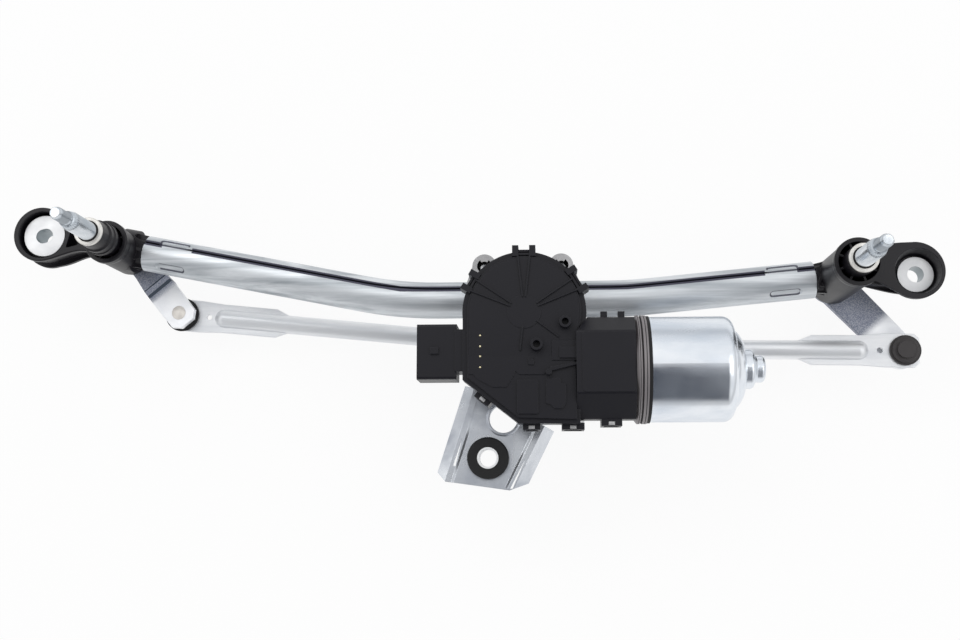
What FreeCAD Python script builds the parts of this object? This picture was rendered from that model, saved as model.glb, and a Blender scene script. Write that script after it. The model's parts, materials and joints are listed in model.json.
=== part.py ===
import FreeCAD, Part
import math
import os

os.makedirs("parts", exist_ok=True)
Vec = FreeCAD.Vector

# All sizes in millimetres. Origin: axis of the centre fixing bore, at the lower end of its sleeve.
# X runs along the linkage, Y up the windscreen, Z towards the wiper arms.

# Fits
slideGap = 0.05
faceGap = 0.3
bodyGap = 0.5

# Frame tube
tubeRadius = 12.0
tubeWall = 2.0
tubeZ = -6.0
tubeMidY = 104.4
tubeLeftBendX = -58.1
tubeRightBendX = 90.4
tubeBendRadius = 260.0
seamWidth = 1.5
seamAngle = 60.0

# Wiper spindles
leftSpindleX = -248.3
leftSpindleY = 140.0
rightSpindleX = 227.7
rightSpindleY = 117.0
leftTubeOffsetY = 2.1
spindleRadius = 6.0
spindleTipZ = 103.0
spindleKnurlZ = 81.5
spindleThreadZ = 87.0
knurlEndRadius = 4.9
threadRadius = 4.0
bushTopZ = 55.7
bushWall = 1.5
bushFlangeRadius = 9.0
bushFlangeHeight = 2.0
bushLength = 16.0
sealRadius = 6.8
sealDepth = 1.5
sealRise = 0.8

# Pivot housings
housingRadius = 15.0
housingWall = 2.6
housingSleeveRadius = 9.4
housingRimZ = 44.0
barrelInset = 0.6
skirtLowZ = -24.5
skirtInner = 11.5
leftBarrelRadius = 12.9
leftBarrelRimZ = 27.0
leftBarrelRim = 14.1
collarRadius = 14.2
collarReach = 9.5
plateTrim = 2.6
housingBottomZ = -19.0
pocketDepth = 30.0
leftPocketDepth = 27.0
leftPocketRadius = 11.4
spigotLength = 30.0
tubeStartFromAxis = 17.0
earTopZ = 7.0
earFloorDepth = 13.0
earFloor = 3.0
rightEarX = 276.2
rightEarY = 117.9
rightRimX = 273.2
rightRimY = 118.6
rightRimRadius = 18.4
rightMouthRadius = 14.8
rightCupFoot = 15.0
leftEarX = -300.7
leftEarY = 150.1
leftRimX = -301.6
leftRimY = 150.4
leftRimRadius = 18.5
leftMouthRadius = 16.0
leftFlangeZ = -14.5
rightWasherRadius = 11.5
leftWasherRadius = 14.0
washerThickness = 1.6
fixingBore = 5.25
fixingSleeveWall = 1.6
slotLength = 11.5
slotWidth = 9.5

# Motor crank and its links
outputX = 24.3
outputY = 85.1
crankRadius = 37.0
crankRestDegrees = -14.0
outputRadius = 4.5
outputBushWall = 0.9
outputBossWall = 1.6
armTopZ = -19.0
armThickness = 5.0
nutHeight = 4.4
nutAcrossFlats = 13.0
leftPinX = -216.4
leftPinY = 101.7
rightPinX = 270.9
rightPinY = 70.05
crankPlate = 4.5
leftHubTopZ = -20.2
leftJoggle = 8.0
rightHubTopZ = -25.5
leftPlaneZ = -39.0
rightPlaneZ = -18.6
upperPlaneZ = -40.0
lowerPlaneZ = -54.0
ballRadius = 5.5
neckRadius = 3.6
linkWidth = 22.0
linkWaist = 19.8
linkThickness = 3.2
rodRadius = 6.4
leftFlatLength = 65.5
rightFlatLength = 59.0
flatTaper = 9.5
beadStart = 29.0
rightLinkOverhang = 9.0
leftLinkOverhang = 7.5
rightLinkHole = 15.6
leftLinkHole = 18.6
socketRadius = 7.6
socketRimRadius = 9.9
leftRimTrim = 1.2

# Centre bracket
plateBottomZ = 6.0
plateThickness = 2.0
grommetRadius = 13.2
grommetBore = 8.6
sleeveRadius = 6.75
sleeveBore = 5.5
sleeveLength = 14.0
plateHoleX = 9.7
plateHoleY = 24.9
plateHoleRadius = 8.9

# Gearbox
housingBaseZ = plateBottomZ + plateThickness
partingZ = 39.0
coverTopZ = 55.0
coverWall = 2.6
coverRadius = 37.6
coverDiscRadius = 34.4
skirtTopZ = 52.6
coverCentreX = outputX
coverCentreY = outputY + 1.2
lugMidX = 22.8
lugHalfSpan = 24.6
lugY = 122.3
lugRadius = 7.75
lugTopZ = 18.0
lugHole = 3.3
lugWellRadius = 4.7
lugWellDepth = 6.0
lugPillar = 2.8
wheelRadius = 25.0
wheelThickness = 9.0
wheelTeeth = 56

# Motor
canAxisY = 53.4
canAxisZ = 29.5
canRadius = 32.5
canWall = 2.0
canStartX = 100.2
canCornerX = canStartX + 44.3
canShoulderX = canCornerX + 7.0
canDomeX = canShoulderX + 6.7
canBossX = canDomeX + 6.0
canTipX = canBossX + 6.6
canBossRadius = 12.3
canTipRadius = 8.4
flangeStartX = 91.0
boxStartX = 55.4
boxTopZ = 60.5
boxTopY = 83.4
boxLowY = 21.6
boxPanelLowY = 36.4
boxPanelTopY = 73.5
magnetThickness = 5.4
magnetGap = 1.6
armatureRadius = canRadius - canWall - magnetThickness - magnetGap
shaftRadius = 4.0
wormRadius = 6.0


# Shape helpers
def cyl(radius, zLow, zHigh, x=0.0, y=0.0):
    return Part.makeCylinder(radius, zHigh - zLow, Vec(x, y, zLow))


def cylAlongX(radius, xLow, xHigh, y, z):
    return Part.makeCylinder(radius, xHigh - xLow, Vec(xLow, y, z), Vec(1, 0, 0))


def cylAlong(radius, start, end):
    way = end - start
    return Part.makeCylinder(radius, way.Length, start, way)


def ring(outer, inner, zLow, zHigh, x=0.0, y=0.0):
    return cyl(outer, zLow, zHigh, x, y).cut(cyl(inner, zLow - 1, zHigh + 1, x, y))


def block(xLow, xHigh, yLow, yHigh, zLow, zHigh):
    return Part.makeBox(xHigh - xLow, yHigh - yLow, zHigh - zLow, Vec(xLow, yLow, zLow))


def prism(points, zLow, zHigh):
    corners = [Vec(x, y, zLow) for x, y in points]
    face = Part.Face(Part.makePolygon(corners + [corners[0]]))
    return face.extrude(Vec(0, 0, zHigh - zLow))


def turned(profile, x, y):
    corners = [Vec(x + radius, y, z) for radius, z in profile]
    face = Part.Face(Part.makePolygon(corners + [corners[0]]))
    return face.revolve(Vec(x, y, 0), Vec(0, 0, 1), 360)


def turnedX(profile, y, z):
    corners = [Vec(x, y, z + radius) for x, radius in profile]
    face = Part.Face(Part.makePolygon(corners + [corners[0]]))
    return face.revolve(Vec(0, y, z), Vec(1, 0, 0), 360)


def turnedRound(profile, y, z):
    edges = []
    spot = Vec(profile[0][-2], y, z + profile[0][-1])
    for entry in profile[1:] + profile[:1]:
        end = Vec(entry[-2], y, z + entry[-1])
        if len(entry) == 4:
            edges.append(Part.Arc(spot, Vec(entry[0], y, z + entry[1]), end).toShape())
        else:
            edges.append(Part.makeLine(spot, end))
        spot = end
    return Part.Face(Part.Wire(edges)).revolve(Vec(0, y, z), Vec(1, 0, 0), 360)


def fuse(shapes):
    whole = shapes[0]
    if len(shapes) > 1:
        whole = whole.multiFuse(shapes[1:])
    return whole.removeSplitter()


def softEdges(shape, radius, pick):
    edges = [edge for edge in shape.Edges if pick(edge)]
    if not edges:
        return shape
    try:
        soft = shape.makeFillet(radius, edges)
        return soft if soft.isValid() and soft.Volume > 0 else shape
    except Exception:
        return shape


def standing(edge):
    low = edge.BoundBox
    return low.ZLength > 0.5 and low.XLength < 0.01 and low.YLength < 0.01


def lyingAt(z):
    def pick(edge):
        return edge.BoundBox.ZLength < 0.01 and abs(edge.BoundBox.ZMin - z) < 0.01
    return pick


def webBetween(x1, y1, r1, x2, y2, r2, zLow, zHigh):
    dx, dy = x2 - x1, y2 - y1
    gap = math.hypot(dx, dy)
    lean = math.acos((r1 - r2) / gap)
    base = math.atan2(dy, dx)
    points = []
    for x, y, r, side in ((x1, y1, r1, 1), (x2, y2, r2, 1), (x2, y2, r2, -1), (x1, y1, r1, -1)):
        angle = base + side * lean
        points.append((x + r * math.cos(angle), y + r * math.sin(angle)))
    return prism(points, zLow, zHigh)


def oblong(length, width, zLow, zHigh, x, y, degrees):
    half = (length - width) / 2
    body = block(-half, half, -width / 2, width / 2, zLow, zHigh)
    body = body.fuse([cyl(width / 2, zLow, zHigh, -half, 0), cyl(width / 2, zLow, zHigh, half, 0)])
    body = body.removeSplitter()
    body.rotate(Vec(0, 0, 0), Vec(0, 0, 1), degrees)
    body.translate(Vec(x, y, 0))
    return body


def hexPrism(acrossFlats, zLow, zHigh, x, y):
    corner = acrossFlats / math.sqrt(3)
    points = []
    for step in range(6):
        angle = math.radians(60 * step)
        points.append((x + corner * math.cos(angle), y + corner * math.sin(angle)))
    return prism(points, zLow, zHigh)


def save(name, shape):
    solids = shape.Solids
    if len(solids) != 1:
        raise ValueError(name + " has " + str(len(solids)) + " solids")
    solid = solids[0]
    if not solid.isValid():
        raise ValueError(name + " is not valid")
    solid.exportStep("parts/" + name + ".step")


# Frame tube: three straight legs joined by two large bends
leftAim = Vec(leftSpindleX, leftSpindleY + leftTubeOffsetY, tubeZ)
rightAim = Vec(rightSpindleX, rightSpindleY, tubeZ)
leftBend = Vec(tubeLeftBendX, tubeMidY, tubeZ)
rightBend = Vec(tubeRightBendX, tubeMidY, tubeZ)
leftWay = (leftBend - leftAim).normalize()
rightWay = (rightAim - rightBend).normalize()
tubeLeftEnd = leftAim + leftWay * tubeStartFromAxis
tubeRightEnd = rightAim - rightWay * tubeStartFromAxis


def bendPoints(corner, wayIn, wayOut):
    half = wayIn.getAngle(wayOut) / 2
    reach = tubeBendRadius * math.tan(half)
    start = corner - wayIn * reach
    end = corner + wayOut * reach
    chord = (start + end) * 0.5
    inward = (chord - corner).normalize()
    middle = corner + inward * (tubeBendRadius / math.cos(half) - tubeBendRadius)
    return start, middle, end


level = Vec(1, 0, 0)
bendOne = bendPoints(leftBend, leftWay, level)
bendTwo = bendPoints(rightBend, level, rightWay)
tubePath = Part.Wire([
    Part.makeLine(tubeLeftEnd, bendOne[0]),
    Part.Arc(bendOne[0], bendOne[1], bendOne[2]).toShape(),
    Part.makeLine(bendOne[2], bendTwo[0]),
    Part.Arc(bendTwo[0], bendTwo[1], bendTwo[2]).toShape(),
    Part.makeLine(bendTwo[2], tubeRightEnd),
])


def sweepAlongTube(profile):
    sweep = Part.BRepOffsetAPI.MakePipeShell(tubePath)
    sweep.setBiNormalMode(Vec(0, 0, 1))
    sweep.add(profile)
    sweep.build()
    sweep.makeSolid()
    return sweep.shape()


def tubeCircle(radius):
    return Part.Wire([Part.Circle(tubeLeftEnd, leftWay, radius).toShape()])


seamSide = Vec(-leftWay.y, leftWay.x, 0)
seamTilt = math.radians(seamAngle)
seamOut = seamSide * math.cos(seamTilt) + Vec(0, 0, 1) * math.sin(seamTilt)
seamAcross = leftWay.cross(seamOut)
seamCorners = []
for out, across in ((tubeRadius - tubeWall - 1, -1), (tubeRadius + 1, -1), (tubeRadius + 1, 1),
                    (tubeRadius - tubeWall - 1, 1)):
    seamCorners.append(tubeLeftEnd + seamOut * out + seamAcross * (across * seamWidth / 2))
seamWire = Part.makePolygon(seamCorners + [seamCorners[0]])
tubeBody = sweepAlongTube(tubeCircle(tubeRadius)).cut(sweepAlongTube(tubeCircle(tubeRadius - tubeWall)))
tubeBody = tubeBody.cut(sweepAlongTube(seamWire))

# Crimps: two pressed grooves near each tube end, on the side facing the spindles' free ends
crimpRadius = 3.4
crimpLength = 15.0
crimpDepth = 1.7
crimpCentre = 20.0
crimpAngles = (138.0, 45.0, -60.0)


def crimpShape(end, way, degrees, grow):
    side = Vec(-way.y, way.x, 0)
    if side.y > 0:
        side = side * -1
    tilt = math.radians(degrees)
    out = side * math.cos(tilt) + Vec(0, 0, 1) * math.sin(tilt)
    middle = end + way * crimpCentre + out * (tubeRadius + crimpRadius - crimpDepth)
    start = middle - way * (crimpLength / 2)
    finish = middle + way * (crimpLength / 2)
    bar = cylAlong(crimpRadius + grow, start, finish)
    return fuse([bar, Part.makeSphere(crimpRadius + grow, start), Part.makeSphere(crimpRadius + grow, finish)])


leftCrimps = [crimpShape(tubeLeftEnd, leftWay, a, 0) for a in crimpAngles]
rightCrimps = [crimpShape(tubeRightEnd, rightWay * -1, a, 0) for a in crimpAngles]
crimpWall = 1.5
leftDents = [crimpShape(tubeLeftEnd, leftWay, a, crimpWall) for a in crimpAngles]
rightDents = [crimpShape(tubeRightEnd, rightWay * -1, a, crimpWall) for a in crimpAngles]
tubeSkin = cylAlong(tubeRadius - 0.4, tubeLeftEnd, tubeLeftEnd + leftWay * 60)
tubeSkinRight = cylAlong(tubeRadius - 0.4, tubeRightEnd, tubeRightEnd - rightWay * 60)
frameTube = tubeBody.multiFuse([d.common(tubeSkin) for d in leftDents] + [d.common(tubeSkinRight) for d in rightDents])
frameTube = frameTube.cut(leftCrimps + rightCrimps)
save("frame_tube", frameTube)

# Centre bracket: pressed plate under the gearbox, two edge rails, drawn hole, grommet hole
plateTopZ = plateBottomZ + plateThickness
plateEdge = [
    (-25.8, -14.8), (13.6, -20.2), (34.6, 22.5), (46.0, 46.0), (49.0, 60.0), (49.0, 98.0), (54.4, 123.0),
    (-8.8, 123.0),
    (-9.1, 71.1), (-9.1, 38.0),
]
plate = prism(plateEdge, plateBottomZ, plateTopZ)
lugSpots = [(lugMidX - lugHalfSpan, lugY), (lugMidX + lugHalfSpan, lugY)]
lowLug = (outputX + 6.0, 38.0)
lugPads = [cyl(lugRadius, plateBottomZ, plateTopZ, x, y) for x, y in lugSpots]


def rail(startX, startY, endX, endY, side):
    way = Vec(endX - startX, endY - startY, 0)
    length = way.Length
    way.normalize()
    out = Vec(-way.y, way.x, 0) * side
    up = Vec(0, 0, 1)
    base = Vec(startX, startY, plateBottomZ)
    section = [(-3.0, 0.0), (-1.4, 1.5), (1.2, 1.5), (7.1, -4.4), (7.1, -7.6), (8.6, -7.6), (8.6, -3.6),
               (2.0, 3.4), (-2.0, 3.4), (-3.6, 2.0)]
    corners = [base + out * a + up * b for a, b in section]
    face = Part.Face(Part.makePolygon(corners + [corners[0]]))
    return face.extrude(way * length)


leftRail = rail(-26.0, -15.6, -7.0, 44.0, 1)
rightRail = rail(13.8, -20.0, 34.2, 21.0, -1)
railTrim = prism([(-60, -8.7), (-32.9, -8.7), (-27.2, -14.7), (13.6, -20.2), (25.0, -16.0), (70, -12.0),
                  (70, 60), (-60, 60)], -20, 30)
leftRail = leftRail.common(railTrim)
rightRail = rightRail.common(railTrim)
collarOut = plateHoleRadius + plateThickness
collar = cyl(collarOut, plateBottomZ - 3.0, plateTopZ, plateHoleX, plateHoleY)
lip = turned([(plateHoleRadius - 0.4, plateTopZ - 1), (collarOut + 0.2, plateTopZ - 1), (collarOut + 0.1,
    plateTopZ),
              (collarOut - 0.5, plateTopZ + 0.8), (plateHoleRadius + 0.4, plateTopZ + 0.9),
              (plateHoleRadius - 0.4, plateTopZ + 0.4)], plateHoleX, plateHoleY)
bracket = fuse([plate, leftRail, rightRail, collar, lip] + lugPads)
outputBossRadius = outputRadius + outputBushWall + outputBossWall
bracketHoles = [
    cyl(plateHoleRadius, -20, 30, plateHoleX, plateHoleY),
    cyl(grommetBore, -20, 30),
    cyl(outputBossRadius + 4.0, -20, 30, outputX, outputY),
    cyl(lugHole, -20, 30, lowLug[0], lowLug[1]),
    cyl(6.0, -20, 30, -0.5, 100.0 - 45.0),
    cyl(6.0, -20, 30, 43.0, 60.0),
]
for lugX, lugSpotY in lugSpots:
    bracketHoles.append(cyl(lugHole, -20, 30, lugX, lugSpotY))
bracketHoles.append(prism([(-16.2, 14.3), (-22.4, -4.6), (-20.8, -4.8)], -20, 30))
bracketHoles.append(prism([(23.3, -1.2), (15.4, -19.1), (13.8, -19.1)], -20, 30))
bracket = bracket.cut(bracketHoles)
save("centre_bracket", bracket)

# Weld beads between the bracket and the tube, one on each side of the tube
for name, side in (("front_weld_bead", -1), ("rear_weld_bead", 1)):
    startX = -7.0 if side > 0 else -6.5
    endX = 13.0 if side < 0 else 52.0
    corners = [Vec(startX, tubeMidY + side * 2.0, plateBottomZ), Vec(startX, tubeMidY + side * 8.4, plateBottomZ),
               Vec(startX, tubeMidY + side * 7.6, plateBottomZ - 2.4)]
    bead = Part.Face(Part.makePolygon(corners + [corners[0]])).extrude(Vec(endX - startX, 0, 0))
    bead = bead.cut(cylAlongX(tubeRadius, startX - 5, endX + 5, tubeMidY, tubeZ))
    save(name, bead)

# Centre fixing: rubber grommet clipped into the plate and its steel sleeve
grommet = turned([
    (sleeveRadius, 0.8), (grommetRadius - 1.0, 0.8), (grommetRadius, 1.8), (grommetRadius, plateBottomZ),
    (grommetBore, plateBottomZ), (grommetBore, plateTopZ), (grommetRadius, plateTopZ),
    (grommetRadius, sleeveLength - 1.9), (grommetRadius - 1.0, sleeveLength - 0.9),
    (sleeveRadius, sleeveLength - 0.9),
], 0, 0)
save("centre_grommet", grommet)
save("centre_sleeve", ring(sleeveRadius, sleeveBore, 0, sleeveLength))


# Pivot housings: spindle barrel, tube spigot, mounting ear
def barrelProfile(stepped):
    barrel = housingRadius - barrelInset
    if not stepped:
        return [(0.0, skirtLowZ), (barrel, skirtLowZ), (barrel, housingRimZ - 8.0),
                (housingRadius, housingRimZ - 4.0), (housingRadius, housingRimZ), (0.0, housingRimZ)]
    rimZ = leftBarrelRimZ
    sleeve = housingSleeveRadius
    return [(0.0, housingBottomZ), (leftBarrelRadius, housingBottomZ), (leftBarrelRadius + 0.3, rimZ - 9.0),
            (leftBarrelRim, rimZ - 5.0), (leftBarrelRim, rimZ - 0.8), (leftBarrelRim - 0.8, rimZ), (sleeve, rimZ),
            (sleeve, rimZ + 6.0), (sleeve + 1.6, rimZ + 6.4), (sleeve + 1.6, rimZ + 10.1),
            (sleeve + 1.0, rimZ + 10.5), (sleeve + 1.0, rimZ + 15.6), (sleeve, rimZ + 16.4),
            (sleeve - 0.4, bushTopZ - bushFlangeHeight), (0.0, bushTopZ - bushFlangeHeight)]


def drawnCup(x1, y1, r1, z1, x2, y2, r2, z2):
    ends = [Part.Wire([Part.Circle(Vec(x1, y1, z1), Vec(0, 0, 1), r1).toShape()]),
            Part.Wire([Part.Circle(Vec(x2, y2, z2), Vec(0, 0, 1), r2).toShape()])]
    return Part.makeLoft(ends, True, True)


def armFace(topRun, lowRun, z):
    low = Part.BSplineCurve()
    low.interpolate([Vec(a, b, z) for a, b in lowRun])
    edges = [low.toShape()]
    corners = [lowRun[-1]] + topRun + [lowRun[0]]
    for start, end in zip(corners[:-1], corners[1:]):
        edges.append(Part.makeLine(Vec(start[0], start[1], z), Vec(end[0], end[1], z)))
    return Part.Face(Part.Wire(edges))


def barrelAndSpigot(x, y, aim, outward, stepped):
    solids = [turned(barrelProfile(stepped), x, y)]
    if not stepped:
        solids.append(cyl(housingSleeveRadius, housingBottomZ, bushTopZ - bushFlangeHeight, x, y))
    spigotRadius = tubeRadius - tubeWall - slideGap
    spigotStart = aim + outward * 4.0
    spigotEnd = aim + outward * (tubeStartFromAxis + spigotLength)
    collarEnd = aim + outward * (tubeStartFromAxis - faceGap)
    spigot = cylAlong(spigotRadius, spigotStart, spigotEnd)
    spigot = spigot.cut(cylAlong(spigotRadius - 3.5, aim + outward * (tubeStartFromAxis + 2),
        spigotEnd + outward))
    solids.append(spigot)
    side = Vec(-outward.y, outward.x, 0)
    solids.append(cylAlong(tubeRadius - 2.6, spigotStart, collarEnd))
    # ribs between the barrel and the tube end
    reach = tubeStartFromAxis - faceGap
    for lift in (tubeRadius - 1.2, 4.0, -4.0, -tubeRadius + 1.2):
        half = min(math.sqrt((tubeRadius + 0.2) ** 2 - lift ** 2), tubeRadius - (0.8 if stepped else plateTrim))
        corners = []
        for along, across in ((0, -tubeRadius), (reach, -half), (reach, half), (0, tubeRadius)):
            spot = aim + outward * along + side * across
            corners.append((spot.x, spot.y))
        solids.append(prism(corners, tubeZ + lift - 1.0, tubeZ + lift + 1.0))
    if stepped:
        collar = cylAlong(collarRadius, aim, aim + outward * collarReach)
        solids.append(collar.common(block(x - 40, x + 40, y - 40, y + 40, housingBottomZ, tubeZ + 20)))
        ribCorners = [aim + outward * 4 + Vec(0, 0, collarRadius), aim + outward * collarReach + Vec(0, 0,
            collarRadius),
                      aim + outward * reach + Vec(0, 0, tubeRadius), aim + outward * reach - Vec(0, 0,
                      tubeRadius - 1),
                      aim + outward * 4 - Vec(0, 0, tubeRadius)]
        moved = [corner - side * 1.1 for corner in ribCorners]
        solids.append(Part.Face(Part.makePolygon(moved + [moved[0]])).extrude(side * 2.2))
        return solids
    # two crossed plates seen from above
    gapRoom = []
    trimmed = tubeRadius - plateTrim
    for along, across in ((0, -tubeRadius), (reach, -trimmed), (reach, trimmed), (0, tubeRadius)):
        spot = aim + outward * along + side * across
        gapRoom.append((spot.x, spot.y))
    room = prism(gapRoom, tubeZ - 10.0, tubeZ + 13.0)
    for near, far in (((18.6, -6.6), (8.4, 9.1)), ((9.5, -9.4), (17.9, 9.0))):
        nearSpot = aim + outward * near[0] + side * near[1]
        farSpot = aim + outward * far[0] + side * far[1]
        across = (farSpot - nearSpot).cross(Vec(0, 0, 1)).normalize() * 0.8
        corners = [nearSpot + across, farSpot + across, farSpot - across, nearSpot - across]
        solids.append(prism([(spot.x, spot.y) for spot in corners], tubeZ - 10.0, tubeZ + 13.0).common(room))
    return solids


def barrelHollows(x, y, stepped, crimpCuts):
    hollows = [cyl(spindleRadius + bushWall, housingBottomZ - 5, bushTopZ + 5, x, y),
               cyl(spindleRadius + bushWall + 0.6, housingBottomZ + bushLength + 6,
               bushTopZ - bushLength - 8, x, y)]
    outer, rimZ, depth = housingRadius - housingWall, housingRimZ, pocketDepth
    if stepped:
        outer, rimZ, depth = leftPocketRadius, leftBarrelRimZ, leftPocketDepth
    else:
        hollows.append(cyl(skirtInner, skirtLowZ - 5, housingBottomZ, x, y))
    pocket = ring(outer, housingSleeveRadius, rimZ - depth, rimZ + 3.0, x, y)
    for step in range(8):
        fin = block(0, housingRadius + 3, -0.7, 0.7, rimZ - depth - 1, rimZ - 3.0)
        fin.rotate(Vec(0, 0, 0), Vec(0, 0, 1), 45 * step + 20)
        fin.translate(Vec(x, y, 0))
        pocket = pocket.cut(fin)
    hollows.append(pocket)
    return hollows + crimpCuts


# Right housing: round ear cup on two webs that run level from the barrel
earFloorTopZ = earTopZ - earFloorDepth
earFloorLowZ = earFloorTopZ - earFloor
rightTopRun = [(rightSpindleX + 3.0, rightSpindleY + 13.4), (rightSpindleX + 10.0, rightSpindleY + 17.6),
               (rightRimX - 9.0, rightRimY + 18.1), (rightRimX, rightRimY + rightRimRadius - 0.05)]
rightLowRun = [(rightRimX - 1.0, rightRimY - 17.6), (rightRimX - 7.5, rightRimY - 16.6),
               (rightRimX - 16.0, rightRimY - 11.6), (rightSpindleX + 21.0, rightSpindleY - 5.9),
               (rightSpindleX + 12.5, rightSpindleY - 2.4), (rightSpindleX + 8.0, rightSpindleY)]
rightUnderRun = [(rightRimX - 2.0, rightRimY - 13.6), (rightRimX - 9.5, rightRimY - 13.0),
                 (rightSpindleX + 26.0, rightSpindleY - 9.2), (rightSpindleX + 17.5, rightSpindleY - 6.9),
                 (rightSpindleX + 11.0, rightSpindleY - 5.2), (rightSpindleX + 6.0, rightSpindleY - 4.0)]
rightUnderTop = [(rightSpindleX + 3.0, rightSpindleY + 12.0), (rightRimX - 4.0, rightRimY + 14.2)]
rightCup = drawnCup(rightRimX, rightRimY, rightRimRadius, earTopZ - 3.4,
                    rightEarX, rightEarY, rightCupFoot, earFloorLowZ)
rightArmTop = armFace(rightTopRun, rightLowRun, earTopZ - 2.8).extrude(Vec(0, 0, 2.8))
rightArmUnder = armFace(rightUnderTop, rightUnderRun, earFloorTopZ - 0.6).extrude(Vec(0, 0, 2.4))
rightArmRib = webBetween(rightSpindleX, rightSpindleY + 1.0, 6.0, rightRimX, rightRimY, 11.0, earFloorTopZ,
                         earTopZ - 2.0)
rightSolids = barrelAndSpigot(rightSpindleX, rightSpindleY, rightAim, rightWay * -1, False)
rightSolids += [rightCup, cyl(rightRimRadius, earTopZ - 3.4, earTopZ, rightRimX, rightRimY), rightArmTop,
                rightArmUnder, rightArmRib]
rightHousing = softEdges(fuse(rightSolids), 0.8, lyingAt(earTopZ))
rightMouthX = (rightRimX + rightEarX) / 2
rightMouthY = (rightRimY + rightEarY) / 2
rightHollows = barrelHollows(rightSpindleX, rightSpindleY, False,
                             [crimpShape(tubeRightEnd, rightWay * -1, a,
                             crimpWall + slideGap) for a in crimpAngles])
rightHollows.append(drawnCup(rightMouthX, rightMouthY, rightMouthRadius, earTopZ + 0.1,
                             rightEarX, rightEarY, rightWasherRadius + 1.2, earFloorTopZ))
rightHollows.append(cyl(rightWasherRadius - 2.2, earFloorLowZ - 5, earTopZ, rightEarX, rightEarY))
save("right_pivot_housing", rightHousing.cut(rightHollows))

# Left housing: stepped barrel and a wide cup with a flange at its mouth and another at its foot
leftTopRun = [(leftSpindleX - 3.0, leftSpindleY + 12.2), (leftSpindleX - 8.0, leftSpindleY + 16.2),
              (leftRimX + 5.4, leftRimY + leftRimRadius - 0.85)]
leftLowRun = [(leftRimX + 1.0, leftRimY - leftRimRadius + 0.1), (leftRimX + 8.0, leftRimY - 17.1),
              (leftRimX + 17.3, leftRimY - 14.1), (leftRimX + 28.2, leftRimY - 11.9),
              (leftSpindleX - 15.6, leftSpindleY - 3.4), (leftSpindleX - 10.0, leftSpindleY - 6.5)]
leftUnderTop = [(leftSpindleX - 3.0, leftSpindleY + 12.0), (leftRimX + 6.0, leftRimY + leftRimRadius - 2.4)]
leftUnderRun = [(leftRimX + 0.5, leftRimY - leftRimRadius - 0.3), (leftRimX + 6.1, leftRimY - 18.3),
                (leftRimX + 12.4, leftRimY - 16.9), (leftRimX + 20.3, leftRimY - 13.9),
                (leftRimX + 29.9, leftRimY - 12.0), (leftSpindleX - 16.8, leftSpindleY - 5.0),
                (leftSpindleX - 8.6, leftSpindleY - 9.0)]
leftMidRun = [(a + 0.4, b + 2.4) for a, b in leftLowRun]
leftMidTop = [(a, b - 2.0) for a, b in leftUnderTop]
leftSolids = barrelAndSpigot(leftSpindleX, leftSpindleY, leftAim, leftWay, True)
leftSolids += [
    cyl(leftRimRadius, earTopZ - 3.6, earTopZ, leftRimX, leftRimY),
    cyl(leftRimRadius - 1.8, leftFlangeZ, earTopZ - 3.0, leftRimX, leftRimY),
    cyl(leftRimRadius + 0.3, leftFlangeZ, leftFlangeZ + 3.0, leftRimX, leftRimY - 0.4),
    armFace(leftTopRun, leftLowRun, earTopZ - 3.6).extrude(Vec(0, 0, 3.6)),
    armFace(leftMidTop, leftMidRun, leftFlangeZ + 1.0).extrude(Vec(0, 0, earTopZ - leftFlangeZ - 3.0)),
    armFace(leftUnderTop, leftUnderRun, leftFlangeZ).extrude(Vec(0, 0, 3.0)),
]
leftHousing = softEdges(fuse(leftSolids), 0.8, lyingAt(earTopZ))
leftHollows = barrelHollows(leftSpindleX, leftSpindleY, True,
                            [crimpShape(tubeLeftEnd, leftWay, a, crimpWall + slideGap) for a in crimpAngles])
leftHollows.append(cyl(leftMouthRadius, earFloorTopZ, earTopZ + 5, leftEarX, leftEarY))
leftHollows.append(cyl(leftMouthRadius - 0.6, leftFlangeZ - 5, earFloorLowZ, leftEarX, leftEarY))
leftHollows.append(cyl(leftWasherRadius - 2.2, leftFlangeZ - 5, earTopZ, leftEarX, leftEarY))
leftPocket = [(leftRimX + 17.8, leftRimY - 9.8), (leftRimX + 25.4, leftRimY - 7.9), (leftSpindleX - 18.6,
    leftRimY + 1.0),
              (leftSpindleX - 21.4, leftRimY + 7.6), (leftRimX + 19.6, leftRimY + 9.0), (leftRimX + 20.4,
              leftRimY)]
leftHollows.append(softEdges(prism(leftPocket, earTopZ - 12.0, earTopZ + 5), 0.8, standing))
save("left_pivot_housing", leftHousing.cut(leftHollows))


# Ear mounts: rubber bush, steel washer and steel sleeve
def earMount(prefix, x, y, washerRadius, washerTopZ, footEndZ, slotted, degrees):
    sleeveOut = fixingBore + fixingSleeveWall
    boreR = washerRadius - 2.2
    rubber = turned([
        (sleeveOut, footEndZ), (washerRadius, footEndZ), (washerRadius, earFloorLowZ), (boreR, earFloorLowZ),
        (boreR, earFloorTopZ), (washerRadius, earFloorTopZ), (washerRadius, washerTopZ - washerThickness),
        (sleeveOut, washerTopZ - washerThickness),
    ], x, y)
    sleeve = ring(sleeveOut, fixingBore, footEndZ - 1.0, washerTopZ - washerThickness, x, y)
    if slotted:
        sleeve = cyl(sleeveOut + 0.8, footEndZ - 1.0, washerTopZ - washerThickness, x, y)
        rubber = rubber.cut(cyl(sleeveOut + 0.8, footEndZ - 5, washerTopZ + 5, x, y))
        hole = oblong(slotLength, slotWidth, footEndZ - 5, earTopZ + 5, x, y, degrees)
        sleeve = sleeve.cut(hole)
        washer = cyl(washerRadius, washerTopZ - washerThickness, washerTopZ, x, y).cut(hole)
    else:
        washer = ring(washerRadius, fixingBore, washerTopZ - washerThickness, washerTopZ, x, y)
    save(prefix + "_ear_grommet", rubber)
    save(prefix + "_ear_sleeve", sleeve)
    save(prefix + "_ear_washer", washer)


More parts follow.
